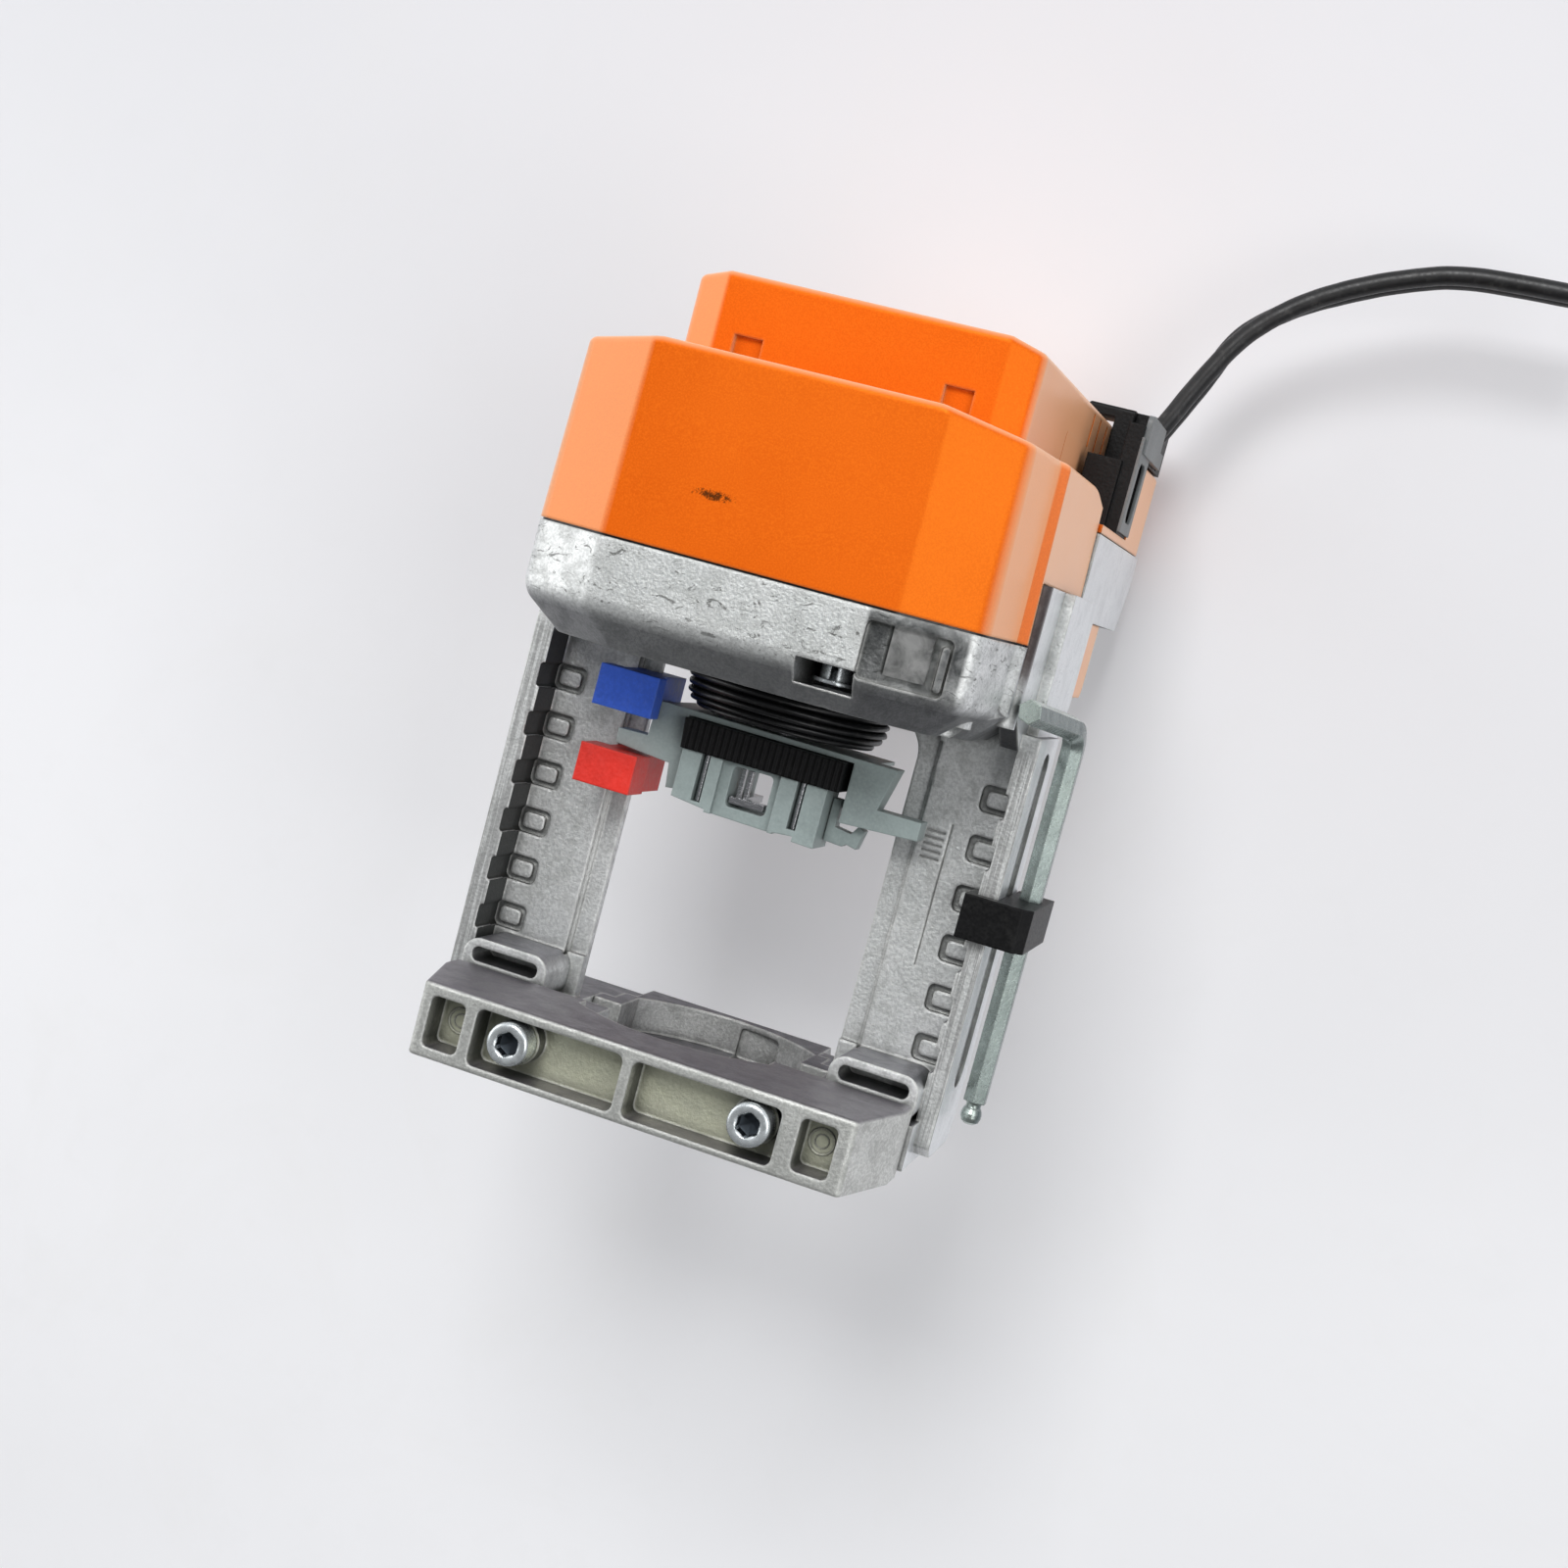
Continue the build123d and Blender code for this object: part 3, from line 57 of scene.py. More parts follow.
# ------------------------------------------------------------------ shader helper
class Material:
    """A Principled material; `color` is the base colour built up in layers by paint()."""

    INPUTS = {"roughness": "Roughness", "metallic": "Metallic", "normal": "Normal",
              "specular": "Specular IOR Level", "specular_tint": "Specular Tint",
              "coat": "Coat Weight", "coat_roughness": "Coat Roughness",
              "emission": "Emission Color", "emission_strength": "Emission Strength"}

    def __init__(self, name):
        self.material = bpy.data.materials.new(name)
        self.material.use_nodes = True
        self.tree = self.material.node_tree
        self.tree.nodes.clear()
        self.output = self.node("ShaderNodeOutputMaterial")
        self.shader = self.node("ShaderNodeBsdfPrincipled")
        self.link(self.shader.outputs[0], self.output.inputs[0])
        self.coords = self.node("ShaderNodeTexCoord").outputs["Object"]
        self.color = None

    @cached_property
    def geometry(self):
        return self.node("ShaderNodeNewGeometry").outputs

    def node(self, kind, **settings):
        node = self.tree.nodes.new(kind)
        for key, value in settings.items():
            setattr(node, key, value)
        return node

    def link(self, source, target):
        self.tree.links.new(source, target)

    def put(self, socket, value):
        """Fill an input with a number, a colour or another node's output."""
        if isinstance(value, (int, float)):
            socket.default_value = value
        elif isinstance(value, tuple):
            opaque = len(value) == 3 and len(socket.default_value) == 4
            socket.default_value = (*value, 1.0) if opaque else value
        else:
            self.link(value, socket)

    # Base colour layers
    def begin(self, mask, first, second):
        self.color = self.mix(mask, first, second)

    def paint(self, mask, color, strength=None):
        """Lay a colour over the base colour where the mask is 1."""
        if strength is not None:
            mask = self.times(mask, strength)
        self.color = self.mix(mask, self.color, color)

    def finish(self, **inputs):
        self.put(self.shader.inputs["Base Color"], self.color)
        for key, value in inputs.items():
            self.put(self.shader.inputs[self.INPUTS[key]], value)
        return self.material

    # Textures
    def mapping(self, scale=(1, 1, 1), rotation=(0, 0, 0)):
        node = self.node("ShaderNodeMapping")
        self.link(self.coords, node.inputs[0])
        node.inputs["Scale"].default_value = scale
        node.inputs["Rotation"].default_value = rotation
        return node.outputs[0]

    def noise(self, scale, detail=4.0, roughness=0.55, distortion=0.0, vector=None):
        node = self.node("ShaderNodeTexNoise")
        self.link(vector or self.coords, node.inputs["Vector"])
        node.inputs["Scale"].default_value = scale
        node.inputs["Detail"].default_value = detail
        node.inputs["Roughness"].default_value = roughness
        node.inputs["Distortion"].default_value = distortion
        return node.outputs[0]

    def voronoi(self, scale):
        node = self.node("ShaderNodeTexVoronoi", feature="F1")
        self.link(self.coords, node.inputs["Vector"])
        node.inputs["Scale"].default_value = scale
        node.inputs["Randomness"].default_value = 1.0
        return node.outputs["Distance"]

    # Ramps and arithmetic
    def stops(self, value, points):
        """Grey ramp through (position, level) points."""
        node = self.node("ShaderNodeValToRGB")
        elements = node.color_ramp.elements
        while len(elements) < len(points):
            elements.new(0.5)
        for element, (position, level) in zip(elements, points):
            element.position = position
            element.color = (level, level, level, 1)
        self.link(value, node.inputs[0])
        return node.outputs[0]

    def ramp(self, value, start, end, first=0.0, last=1.0):
        return self.stops(value, [(start, first), (end, last)])

    def fall(self, value, start, end, first=1.0, last=0.0):
        return self.ramp(value, start, end, first, last)

    def mix(self, factor, first, second):
        node = self.node("ShaderNodeMix", data_type="RGBA", blend_type="MIX")
        self.put(node.inputs[0], factor)
        self.put(node.inputs[6], first)
        self.put(node.inputs[7], second)
        return node.outputs[2]

    def math(self, operation, first, second=0.0):
        node = self.node("ShaderNodeMath", operation=operation)
        self.put(node.inputs[0], first)
        self.put(node.inputs[1], second)
        return node.outputs[0]

    def times(self, first, *others):
        for other in others:
            first = self.math("MULTIPLY", first, other)
        return first

    def plus(self, first, *others):
        for other in others:
            first = self.math("ADD", first, other)
        return first

    def minus(self, first, second):
        return self.math("SUBTRACT", first, second)

    # Position and direction
    def axis(self, name, scale=None, vector=None):
        node = self.node("ShaderNodeSeparateXYZ")
        self.link(vector or self.coords, node.inputs[0])
        value = node.outputs["XYZ".index(name)]
        return value if scale is None else self.times(value, scale)

    def distance(self, value, scale):
        """Scaled absolute value."""
        return self.times(self.math("ABSOLUTE", value), scale)

    def facing(self, direction, start, end):
        """1 on surfaces whose normal points along a direction such as "Z" or "-Y"."""
        sign = -1.0 if direction[0] == "-" else None
        value = self.axis(direction[-1], scale=sign, vector=self.geometry["Normal"])
        return self.ramp(value, start, end)

    # Edges, corners and relief
    def bevel(self, radius):
        node = self.node("ShaderNodeBevel", samples=4)
        node.inputs["Radius"].default_value = radius
        return node.outputs[0]

    def edges(self, bevel):
        """1 on convex and concave edges, from the bevelled normal."""
        node = self.node("ShaderNodeVectorMath", operation="DOT_PRODUCT")
        self.link(bevel, node.inputs[0])
        self.link(self.geometry["Normal"], node.inputs[1])
        return self.ramp(self.minus(1.0, node.outputs["Value"]), start=0.02, end=0.25)

    def corners(self, distance, start, end, first=1.0):
        """Highest in occluded corners, 0 in the open."""
        node = self.node("ShaderNodeAmbientOcclusion", samples=6)
        node.inputs["Distance"].default_value = distance
        return self.fall(node.outputs["AO"], start, end, first)

    def bump(self, height, strength, distance, normal=None):
        node = self.node("ShaderNodeBump")
        self.put(node.inputs["Height"], height)
        node.inputs["Strength"].default_value = strength
        node.inputs["Distance"].default_value = distance
        if normal is not None:
            self.link(normal, node.inputs["Normal"])
        return node.outputs[0]


def srgb(red, green, blue, factor=1.0):
    """Linear colour from 0-255 sRGB values, each first scaled by the factor."""
    levels = (value * factor / 255 for value in (red, green, blue))
    return tuple(v / 12.92 if v <= 0.04045 else ((v + 0.055) / 1.055) ** 2.4 for v in levels)


# ------------------------------------------------------------------ cast metal
CAST_METALLIC = 0.75
CAST_SPECULAR = 0.5


def paint_tray_marks_and_shade(mat, blotches):
    """Handling marks on the front band of the casting, and painted shade on its underside."""
    x = mat.axis("X")
    z = mat.axis("Z")
    band = mat.times(mat.ramp(z, start=0.104, end=0.110), mat.fall(z, start=0.124, end=0.126))
    smears = mat.noise(scale=330, detail=5, roughness=0.7, distortion=1.4,
                       vector=mat.mapping(scale=(0.7, 0.7, 1.6)))
    marks = mat.times(mat.ramp(smears, start=0.585, end=0.63), band)
    # dark stretch right of the middle; the ramps read x in tenths of a metre
    right = mat.times(mat.ramp(mat.times(x, 10.0), start=0.275, end=0.282),
                      mat.fall(mat.times(x, 10.0), start=0.482, end=0.49))
    mat.paint(marks, srgb(66, 66, 62), strength=0.72)
    patches = mat.fall(blotches, start=0.35, end=0.70, last=0.72)
    mat.paint(mat.times(right, band, patches), srgb(40, 42, 43), strength=0.97)
    # painted shade: downward faces low on the tray darkened
    low = mat.times(mat.facing("-Z", start=0.35, end=0.85), mat.ramp(z, start=0.090, end=0.094))
    mat.paint(low, srgb(60, 61, 66), strength=0.86)


def paint_bar_pockets(mat, front):
    """Yellow-green floors and painted shade on the side walls in the front pockets of the clamp bar.
    """
    depth = mat.plus(mat.axis("Y"), 0.05)
    sunk = mat.times(mat.ramp(depth, start=0.0012, end=0.0022), front)
    mat.paint(sunk, srgb(206, 208, 176), strength=0.65)
    # painted shade on the pocket sides, which lie in a box of depth, height and width, the last three
    # in tenths of a metre
    in_depth = mat.times(mat.ramp(mat.plus(mat.axis("Y"), 0.05), start=0.0006, end=0.0012),
                         mat.ramp(mat.axis("Y", scale=-10.0), start=0.412, end=0.416))
    in_height = mat.times(mat.ramp(mat.axis("Z", scale=10.0), start=0.014, end=0.017),
                          mat.fall(mat.axis("Z", scale=10.0), start=0.150, end=0.154))
    in_width = mat.fall(mat.distance(mat.axis("X"), scale=10.0), start=0.492, end=0.497)
    walls = mat.times(in_depth, in_height, in_width, mat.facing("X", start=0.3, end=0.7))
    mat.paint(walls, srgb(54, 54, 52), strength=0.82)


def paint_tray_columns(mat, front, roughness):
    """Painted light on the outer sides, painted shade on the left flange's inner faces, drawn lines
    and a painted orange reflection on a post.

    Returns the roughness, metallic and specular inputs, changed on the painted-shade inner faces.
    """
    x = mat.axis("X")
    y = mat.axis("Y")
    z = mat.axis("Z")
    # position ramps along x read tenths of a metre
    # painted light: outer side faces of both columns made bright
    sideways = mat.math("ABSOLUTE", mat.axis("X", vector=mat.geometry["Normal"]))
    outer = mat.times(mat.ramp(sideways, start=0.92, end=0.99),
                      mat.ramp(mat.distance(x, scale=10.0), start=0.545, end=0.555))
    mat.paint(outer, srgb(232, 236, 240), strength=0.55)
    roughness = mat.mix(outer, roughness, (0.30, 0.30, 0.30))
    # painted shade on the inner faces of the left column flange
    inner = mat.times(mat.ramp(mat.times(x, -10.0), start=0.560, end=0.566),
                      mat.facing("X", start=0.30, end=0.5),
                      mat.fall(z, start=0.0985, end=0.1005))
    mat.paint(inner, srgb(36, 38, 34), strength=0.93)
    roughness = mat.mix(inner, roughness, (0.70, 0.70, 0.70))
    metallic = mat.minus(CAST_METALLIC, mat.times(inner, 0.70))
    specular = mat.minus(CAST_SPECULAR, mat.times(inner, 0.38))
    # drawn lines down the front of both column flanges
    lines = mat.noise(scale=1500, detail=3, roughness=0.6,
                      vector=mat.mapping(scale=(1.0, 0.3, 0.02)))
    column = mat.times(mat.ramp(mat.distance(x, scale=10.0), start=0.572, end=0.578),
                       mat.fall(z, start=0.098, end=0.101), front)
    mat.paint(mat.times(column, mat.fall(lines, start=0.46, end=0.54)),
              srgb(108, 106, 106), strength=0.45)
    # painted reflection of the orange cover on a round post at x 55 mm, y -26.6 mm; its radius is
    # read in hundredths of a metre
    from_x = mat.minus(x, 0.055)
    from_y = mat.minus(y, -0.0266)
    radius = mat.math("SQRT", mat.plus(mat.times(from_x, from_x), mat.times(from_y, from_y)))
    post = mat.times(mat.fall(mat.times(radius, 100.0), start=0.27, end=0.29),
                     mat.ramp(z, start=0.112, end=0.118))
    mat.paint(post, srgb(46, 22, 18), strength=0.9)
    return roughness, metallic, specular


def cast_metal(name, light, dark, mottle, roughness=0.42, tray=False, bar=False):
    """Die casting: fine pitted skin, tone drift, painted shade in corners, bare metal on the edges.
    """
    mat = Material(name)
    bevel = mat.bevel(radius=0.0010)
    drift = mat.noise(scale=30, detail=5, roughness=0.6, distortion=0.4)
    blotches = mat.noise(scale=170, detail=6, roughness=0.62, distortion=0.5)
    pits = mat.noise(scale=1500, detail=4, roughness=0.65)
    specks = mat.voronoi(scale=900)
    mat.begin(mat.ramp(drift, start=0.36, end=0.66), srgb(*dark), srgb(*light))
    mat.paint(mat.fall(blotches, start=0.40, end=0.52), srgb(*dark, factor=0.66), strength=mottle)
    mat.paint(mat.fall(pits, start=0.44, end=0.56), srgb(*dark, factor=0.62), strength=0.30)
    mat.paint(mat.ramp(pits, start=0.56, end=0.68), srgb(222, 223, 220), strength=0.25)
    # painted shade: upward faces darkened to a cool purple-grey; a faint green-grey tint on forward
    # faces
    top_shade = srgb(104, 99, 108) if bar else srgb(84, 82, 91)
    mat.paint(mat.facing("Z", start=0.3, end=0.9), top_shade, strength=0.85)
    front = mat.facing("-Y", start=0.3, end=0.95)
    mat.paint(front, srgb(196, 199, 188), strength=0.16)
    # long thin scratches
    scratches = mat.noise(scale=95, detail=2, roughness=0.5,
                          vector=mat.mapping(scale=(1.0, 1.0, 11.0), rotation=(0.5, 0.35, 0.2)))
    mat.paint(mat.ramp(scratches, start=0.70, end=0.715), srgb(120, 120, 116), strength=0.18)
    if tray:
        paint_tray_marks_and_shade(mat, blotches)
    if bar:
        paint_bar_pockets(mat, front)
    # painted shade in the corners, bare metal on the edges
    mat.paint(mat.corners(distance=0.005, start=0.30, end=0.80, first=0.80), srgb(58, 60, 55))
    worn = mat.times(mat.edges(bevel), mat.ramp(blotches, start=0.35, end=0.6, first=0.35))
    mat.paint(worn, srgb(232, 232, 228), strength=0.8)
    skin = mat.ramp(blotches, start=0.3, end=0.7, first=roughness + 0.12, last=roughness - 0.08)
    metallic, specular = CAST_METALLIC, CAST_SPECULAR
    if tray:
        skin, metallic, specular = paint_tray_columns(mat, front, skin)
    height = mat.plus(mat.times(blotches, 0.35), mat.times(pits, 0.5), mat.times(specks, 0.12))
    return mat.finish(roughness=skin, metallic=metallic, specular=specular,
                      normal=mat.bump(height, strength=0.42, distance=0.0006, normal=bevel))


# ------------------------------------------------------------------ other surfaces
def paint_scuff(mat):
    """One dark ragged mark low on the front of the cover."""
    x = mat.axis("X")
    z = mat.axis("Z")
    # ellipse about x -11 mm, z 137 mm with half axes of 7 and 1.8 mm
    across = mat.math("DIVIDE", mat.minus(x, -0.011), 0.0070)
    upward = mat.math("DIVIDE", mat.minus(z, 0.1370), 0.0018)
    ellipse = mat.plus(mat.times(across, across), mat.times(upward, upward))
    breakup = mat.noise(scale=900, detail=5, roughness=0.8, distortion=1.0)
    ragged = mat.plus(ellipse, mat.times(breakup, 2.4))
    mark = mat.times(mat.fall(mat.times(ragged, 0.4), start=0.50, end=0.62),
                     mat.facing("-Y", start=0.9, end=0.97))
    mat.paint(mark, srgb(52, 26, 14), strength=0.94)


def orange_plastic(name, scuff=False):
    """Moulded plastic with a fine grain, pale edges that are partly rubbed wear and partly painted
    highlight, faint handling marks, painted shade in corners and a painted sheen.
    """
    mat = Material(name)
    bevel = mat.bevel(radius=0.0010)
    drift = mat.noise(scale=22, detail=3, roughness=0.5)
    fine = mat.noise(scale=2600, detail=2, roughness=0.5)
    grain = mat.voronoi(scale=1700)
    smudges = mat.noise(scale=60, detail=4, roughness=0.6, distortion=0.2)
    mat.begin(mat.ramp(drift, start=0.3, end=0.7), srgb(212, 88, 14), srgb(224, 98, 20))
    mat.paint(mat.ramp(fine, start=0.40, end=0.70), srgb(252, 126, 30), strength=0.30)
    mat.paint(mat.ramp(smudges, start=0.60, end=0.76), srgb(214, 76, 4), strength=0.10)
    if scuff:
        paint_scuff(mat)
    # painted shade in the corners
    mat.paint(mat.corners(distance=0.004, start=0.3, end=0.8, first=0.55), srgb(120, 40, 4))
    # pale edges: partly rubbed wear, partly painted highlight
    mat.paint(mat.edges(bevel), srgb(255, 176, 112), strength=0.42)
    # painted sheen: facets that turn away from the viewer are paler
    weight = mat.node("ShaderNodeLayerWeight")
    weight.inputs["Blend"].default_value = 0.5
    grazing_sheen = mat.stops(weight.outputs["Facing"],
                        points=[(0.08, 0.0), (0.24, 0.28), (0.75, 0.66), (0.95, 0.82)])
    mat.paint(grazing_sheen, srgb(255, 212, 164), strength=0.86)
    height = mat.plus(mat.times(grain, 0.6), mat.times(fine, 0.6))
    return mat.finish(roughness=mat.ramp(smudges, start=0.35, end=0.75, first=0.31, last=0.28),
                      specular=0.9, specular_tint=(1.0, 0.36, 0.04),
                      coat=0.0, coat_roughness=0.22,
                      normal=mat.bump(height, strength=0.06, distance=0.0004, normal=bevel))


def zinc(name, tint=(236, 242, 244), roughness=0.24, shaded=False):
    """Zinc plating with painted shade in corners; the shaded one is also grey-green in front and has
    painted shade as dark streaks towards +X.
    """
    mat = Material(name)
    bevel = mat.bevel(radius=0.0004)
    drift = mat.noise(scale=160, detail=4, roughness=0.6)
    fine = mat.noise(scale=900, detail=3, roughness=0.6)
    mat.begin(mat.ramp(drift, start=0.35, end=0.7), srgb(*tint, factor=0.86), srgb(*tint))
    mat.paint(mat.ramp(mat.noise(scale=60, detail=3), start=0.5, end=0.75),
              srgb(196, 206, 190), strength=0.25)
    # painted shade in the corners
    mat.paint(mat.corners(distance=0.0025, start=0.3, end=0.85, first=0.8), srgb(40, 48, 54))
    if shaded:
        mat.paint(mat.facing("-Y", start=0.4, end=0.9), srgb(120, 134, 126), strength=0.45)
        streaks = mat.noise(scale=260, detail=4, roughness=0.6, distortion=0.3,
                            vector=mat.mapping(scale=(1.0, 1.0, 0.35)))
        # painted shade: dark streaks on faces towards +X
        dark = mat.times(mat.facing("X", start=0.3, end=0.75),
                         mat.ramp(streaks, start=0.35, end=0.65, first=0.82))
        mat.paint(dark, srgb(60, 74, 78), strength=0.85)
    return mat.finish(metallic=0.82,
                      roughness=mat.ramp(fine, start=0.3, end=0.7,
                                         first=roughness - 0.05, last=roughness + 0.12),
                      normal=mat.bump(fine, strength=0.12, distance=0.0002, normal=bevel))


def steel(name, color, roughness, brushing=(1, 1, 1), metallic=1.0):
    """Bare or oiled metal; brushing stretches the fine noise per axis."""
    mat = Material(name)
    bevel = mat.bevel(radius=0.0003)
    fine = mat.noise(scale=500, detail=4, roughness=0.6, vector=mat.mapping(scale=brushing))
    stains = mat.noise(scale=80, detail=3, roughness=0.5)
    mat.begin(mat.ramp(fine, start=0.3, end=0.7), srgb(*color, factor=0.78), srgb(*color))
    mat.paint(mat.ramp(stains, start=0.45, end=0.7), srgb(*color, factor=0.6), strength=0.3)
    return mat.finish(metallic=metallic,
                      roughness=mat.ramp(fine, start=0.3, end=0.7,
                                         first=roughness - 0.05, last=roughness + 0.1),
                      normal=mat.bump(fine, strength=0.1, distance=0.0002, normal=bevel))


def moulded(name, color, roughness=0.42, grain=0.2, lift=1.35, wear=0.35, dust=0.12,
            specular=0.5):
    """Injection-moulded plastic: fine grain, tone drift, rubbed edges, painted shade in corners,
    dust.

    grain is the bump strength, lift brightens the grain, wear and dust are layer strengths.
    """
    mat = Material(name)
    bevel = mat.bevel(radius=0.0006)
    drift = mat.noise(scale=55, detail=4, roughness=0.6, distortion=0.3)
    fine = mat.noise(scale=1400, detail=3, roughness=0.6)
    cells = mat.voronoi(scale=1120)
    plain = srgb(*color)
    lighter = tuple(min(1.0, level * lift + 0.01) for level in plain)
    darker = tuple(level * 0.72 for level in plain)
    rubbed = tuple(min(1.0, level * 1.8 + 0.04) for level in plain)
    corner_shade = tuple(level * 0.35 for level in plain)
    mat.begin(mat.ramp(drift, start=0.35, end=0.7), darker, plain)
    mat.paint(mat.ramp(fine, start=0.4, end=0.7), lighter, strength=0.3)
    mat.paint(mat.edges(bevel), rubbed, strength=wear)
    # painted shade in the corners
    mat.paint(mat.corners(distance=0.004, start=0.3, end=0.8), corner_shade, strength=0.5)
    mat.paint(mat.ramp(mat.noise(scale=240, detail=5, roughness=0.7), start=0.55, end=0.75),
              srgb(176, 176, 170), strength=dust)
    height = mat.plus(mat.times(fine, 0.5), mat.times(cells, 0.5))
    return mat.finish(roughness=mat.ramp(fine, start=0.3, end=0.7,
                                         first=roughness - 0.06, last=roughness + 0.1),
                      specular=specular,
                      normal=mat.bump(height, strength=grain, distance=0.0003, normal=bevel))


def rubber(name, color, roughness):
    mat = Material(name)
    fine = mat.noise(scale=900, detail=4, roughness=0.6)
    drift = mat.noise(scale=90, detail=4, roughness=0.6, distortion=0.4)
    mat.begin(mat.ramp(drift, start=0.4, end=0.7), srgb(*color), srgb(*color, factor=1.55))
    mat.paint(mat.ramp(mat.noise(scale=300, detail=5, roughness=0.7), start=0.55, end=0.72),
              srgb(150, 150, 146), strength=0.10)
    return mat.finish(roughness=mat.ramp(fine, start=0.3, end=0.7,
                                         first=roughness - 0.08, last=roughness + 0.12),
                      specular=0.5, normal=mat.bump(fine, strength=0.10, distance=0.0002))


def board(name):
    """Green solder mask with a brick pattern standing in for the traces."""
    mat = Material(name)
    bricks = mat.node("ShaderNodeTexBrick")
    mat.link(mat.mapping(scale=(260, 260, 260)), bricks.inputs["Vector"])
    bricks.inputs["Mortar Size"].default_value = 0.06
    traces = bricks.outputs["Fac"]
    mat.begin(mat.ramp(mat.noise(scale=40, detail=3), start=0.3, end=0.7),
              srgb(14, 84, 44), srgb(22, 104, 56))
    mat.paint(traces, srgb(46, 140, 80), strength=0.5)
    return mat.finish(roughness=0.35, normal=mat.bump(traces, strength=0.3, distance=0.0002))


CAST = cast_metal("cast_alloy_worn", light=(240, 241, 241), dark=(216, 218, 218), mottle=0.38,
                  tray=True)
CAST_BAR = cast_metal("cast_alloy_bar", light=(216, 217, 214), dark=(190, 191, 188), mottle=0.24,
                      roughness=0.44, bar=True)
CAST_JAW = cast_metal("cast_alloy_jaw", light=(204, 204, 204), dark=(168, 168, 168), mottle=0.4)
ORANGE = orange_plastic("orange_grained")
ORANGE_FRONT = orange_plastic("orange_grained_front", scuff=True)
SOCKET = steel("socket_shadow", color=(64, 70, 76), roughness=0.35)
ZINC = zinc("zinc_plated")
ZINC_KEY = zinc("zinc_key", tint=(214, 224, 219), shaded=True)
STEEL_DARK = steel("steel_oiled", color=(120, 119, 118), roughness=0.4)
STEEL_BRIGHT = steel("steel_ground", color=(205, 205, 208), roughness=0.2, brushing=(1, 1, 14))
GREY_GREEN = moulded("coupling_grey_moulded", color=(158, 171, 169), roughness=0.44,
                     lift=1.15, wear=0.3, dust=0.08)
BLACK = moulded("black_moulded", color=(11, 11, 12), roughness=0.44, grain=0.22,
                lift=1.3, wear=0.12, dust=0.02, specular=0.18)
BLUE = moulded("blue_moulded", color=(56, 104, 226), grain=0.25, lift=1.3, wear=0.4, dust=0.06)
RED = moulded("red_moulded", color=(226, 46, 32), grain=0.25, lift=1.2, wear=0.3, dust=0.05)
GREY = moulded("grey_moulded", color=(112, 116, 117), roughness=0.45,
               lift=1.2, wear=0.3, dust=0.06)
ACETAL = moulded("acetal_moulded", color=(226, 220, 200), roughness=0.3, grain=0.05,
                 lift=1.1, wear=0.1, dust=0.02)
BRASS = steel("brass_turned", color=(196, 160, 96), roughness=0.28, brushing=(1, 1, 20))
CAN = steel("motor_can_plated", color=(176, 178, 180), roughness=0.35, brushing=(1, 1, 8),
            metallic=0.9)
BOARD = board("board_solder_mask")
TERMINAL = moulded("terminal_moulded", color=(40, 130, 76), roughness=0.4)
SLEEVE = moulded("capacitor_sleeve_film", color=(30, 34, 60), roughness=0.25, grain=0.05)
WINDING = moulded("winding_taped", color=(150, 92, 48), roughness=0.5, grain=0.4)
RUBBER = rubber("rubber_matt", color=(15, 15, 16), roughness=0.36)
SHEATH = rubber("cable_sheath", color=(16, 16, 17), roughness=0.42)

# CAD piece: material
PIECE_MATERIALS = {
    "housing_casting": CAST, "rear_jaw": CAST_JAW, "clamp_bar": CAST_BAR,
    "front_cover": ORANGE_FRONT, "rear_cover": ORANGE, "lower_cover": ORANGE,
    "cover_gasket": RUBBER, "cover_screws": STEEL_DARK, "spindle": STEEL_BRIGHT,
    "coupling_frame": GREY_GREEN, "coupling_insert": BLACK, "coupling_block": GREY_GREEN,
    "coupling_pins": STEEL_BRIGHT, "stem_latch": STEEL_BRIGHT, "coupling_hook": GREY_GREEN,
    "bellows": RUBBER, "blue_tab": BLUE, "red_tab": RED, "hex_key": ZINC_KEY, "key_clip": BLACK,
    "nut_gear": STEEL_DARK, "wheel_b": ACETAL, "wheel_a": ACETAL, "gear_pins": STEEL_BRIGHT,
    "motor_pinion": BRASS, "motor": CAN, "motor_screws": STEEL_DARK, "manual_shaft": ZINC,
    "gear_plate": STEEL_DARK, "plate_screws": ZINC, "bush_lower": BRASS, "bush_upper": BRASS,
    "circuit_board": BOARD, "board_screws": ZINC, "terminal_block": TERMINAL,
    "capacitors": SLEEVE, "transformer": WINDING, "cable_gland": BLACK, "strain_relief": GREY,
    "motor_lead": RUBBER, "clamp_screw_left": ZINC, "clamp_screw_right": ZINC,
    "cable_a": SHEATH, "cable_b": SHEATH,
}
for piece_name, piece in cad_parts.items():
    piece.data.materials.clear()
    piece.data.materials.append(PIECE_MATERIALS[piece_name])


# ------------------------------------------------------------------ mesh helpers
def mesh_object(name, verts, faces, material, body, angle):
    """Smooth-shaded object, sharp above the angle (radians), riding on a body if one is given."""
    mesh = bpy.data.meshes.new(name)
    mesh.from_pydata([tuple(vert) for vert in verts], [], faces)
    edit = bmesh.new()
    edit.from_mesh(mesh)
    bmesh.ops.remove_doubles(edit, verts=edit.verts, dist=1e-7)
    bmesh.ops.recalc_face_normals(edit, faces=edit.faces)
    edit.to_mesh(mesh)
    edit.free()
    mesh.shade_smooth()
    mesh.set_sharp_from_angle(angle=angle)
    mesh.materials.append(material)
    obj = bpy.data.objects.new(name, mesh)
    SCENE.collection.objects.link(obj)
    if body:
        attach(obj, body)
    return obj


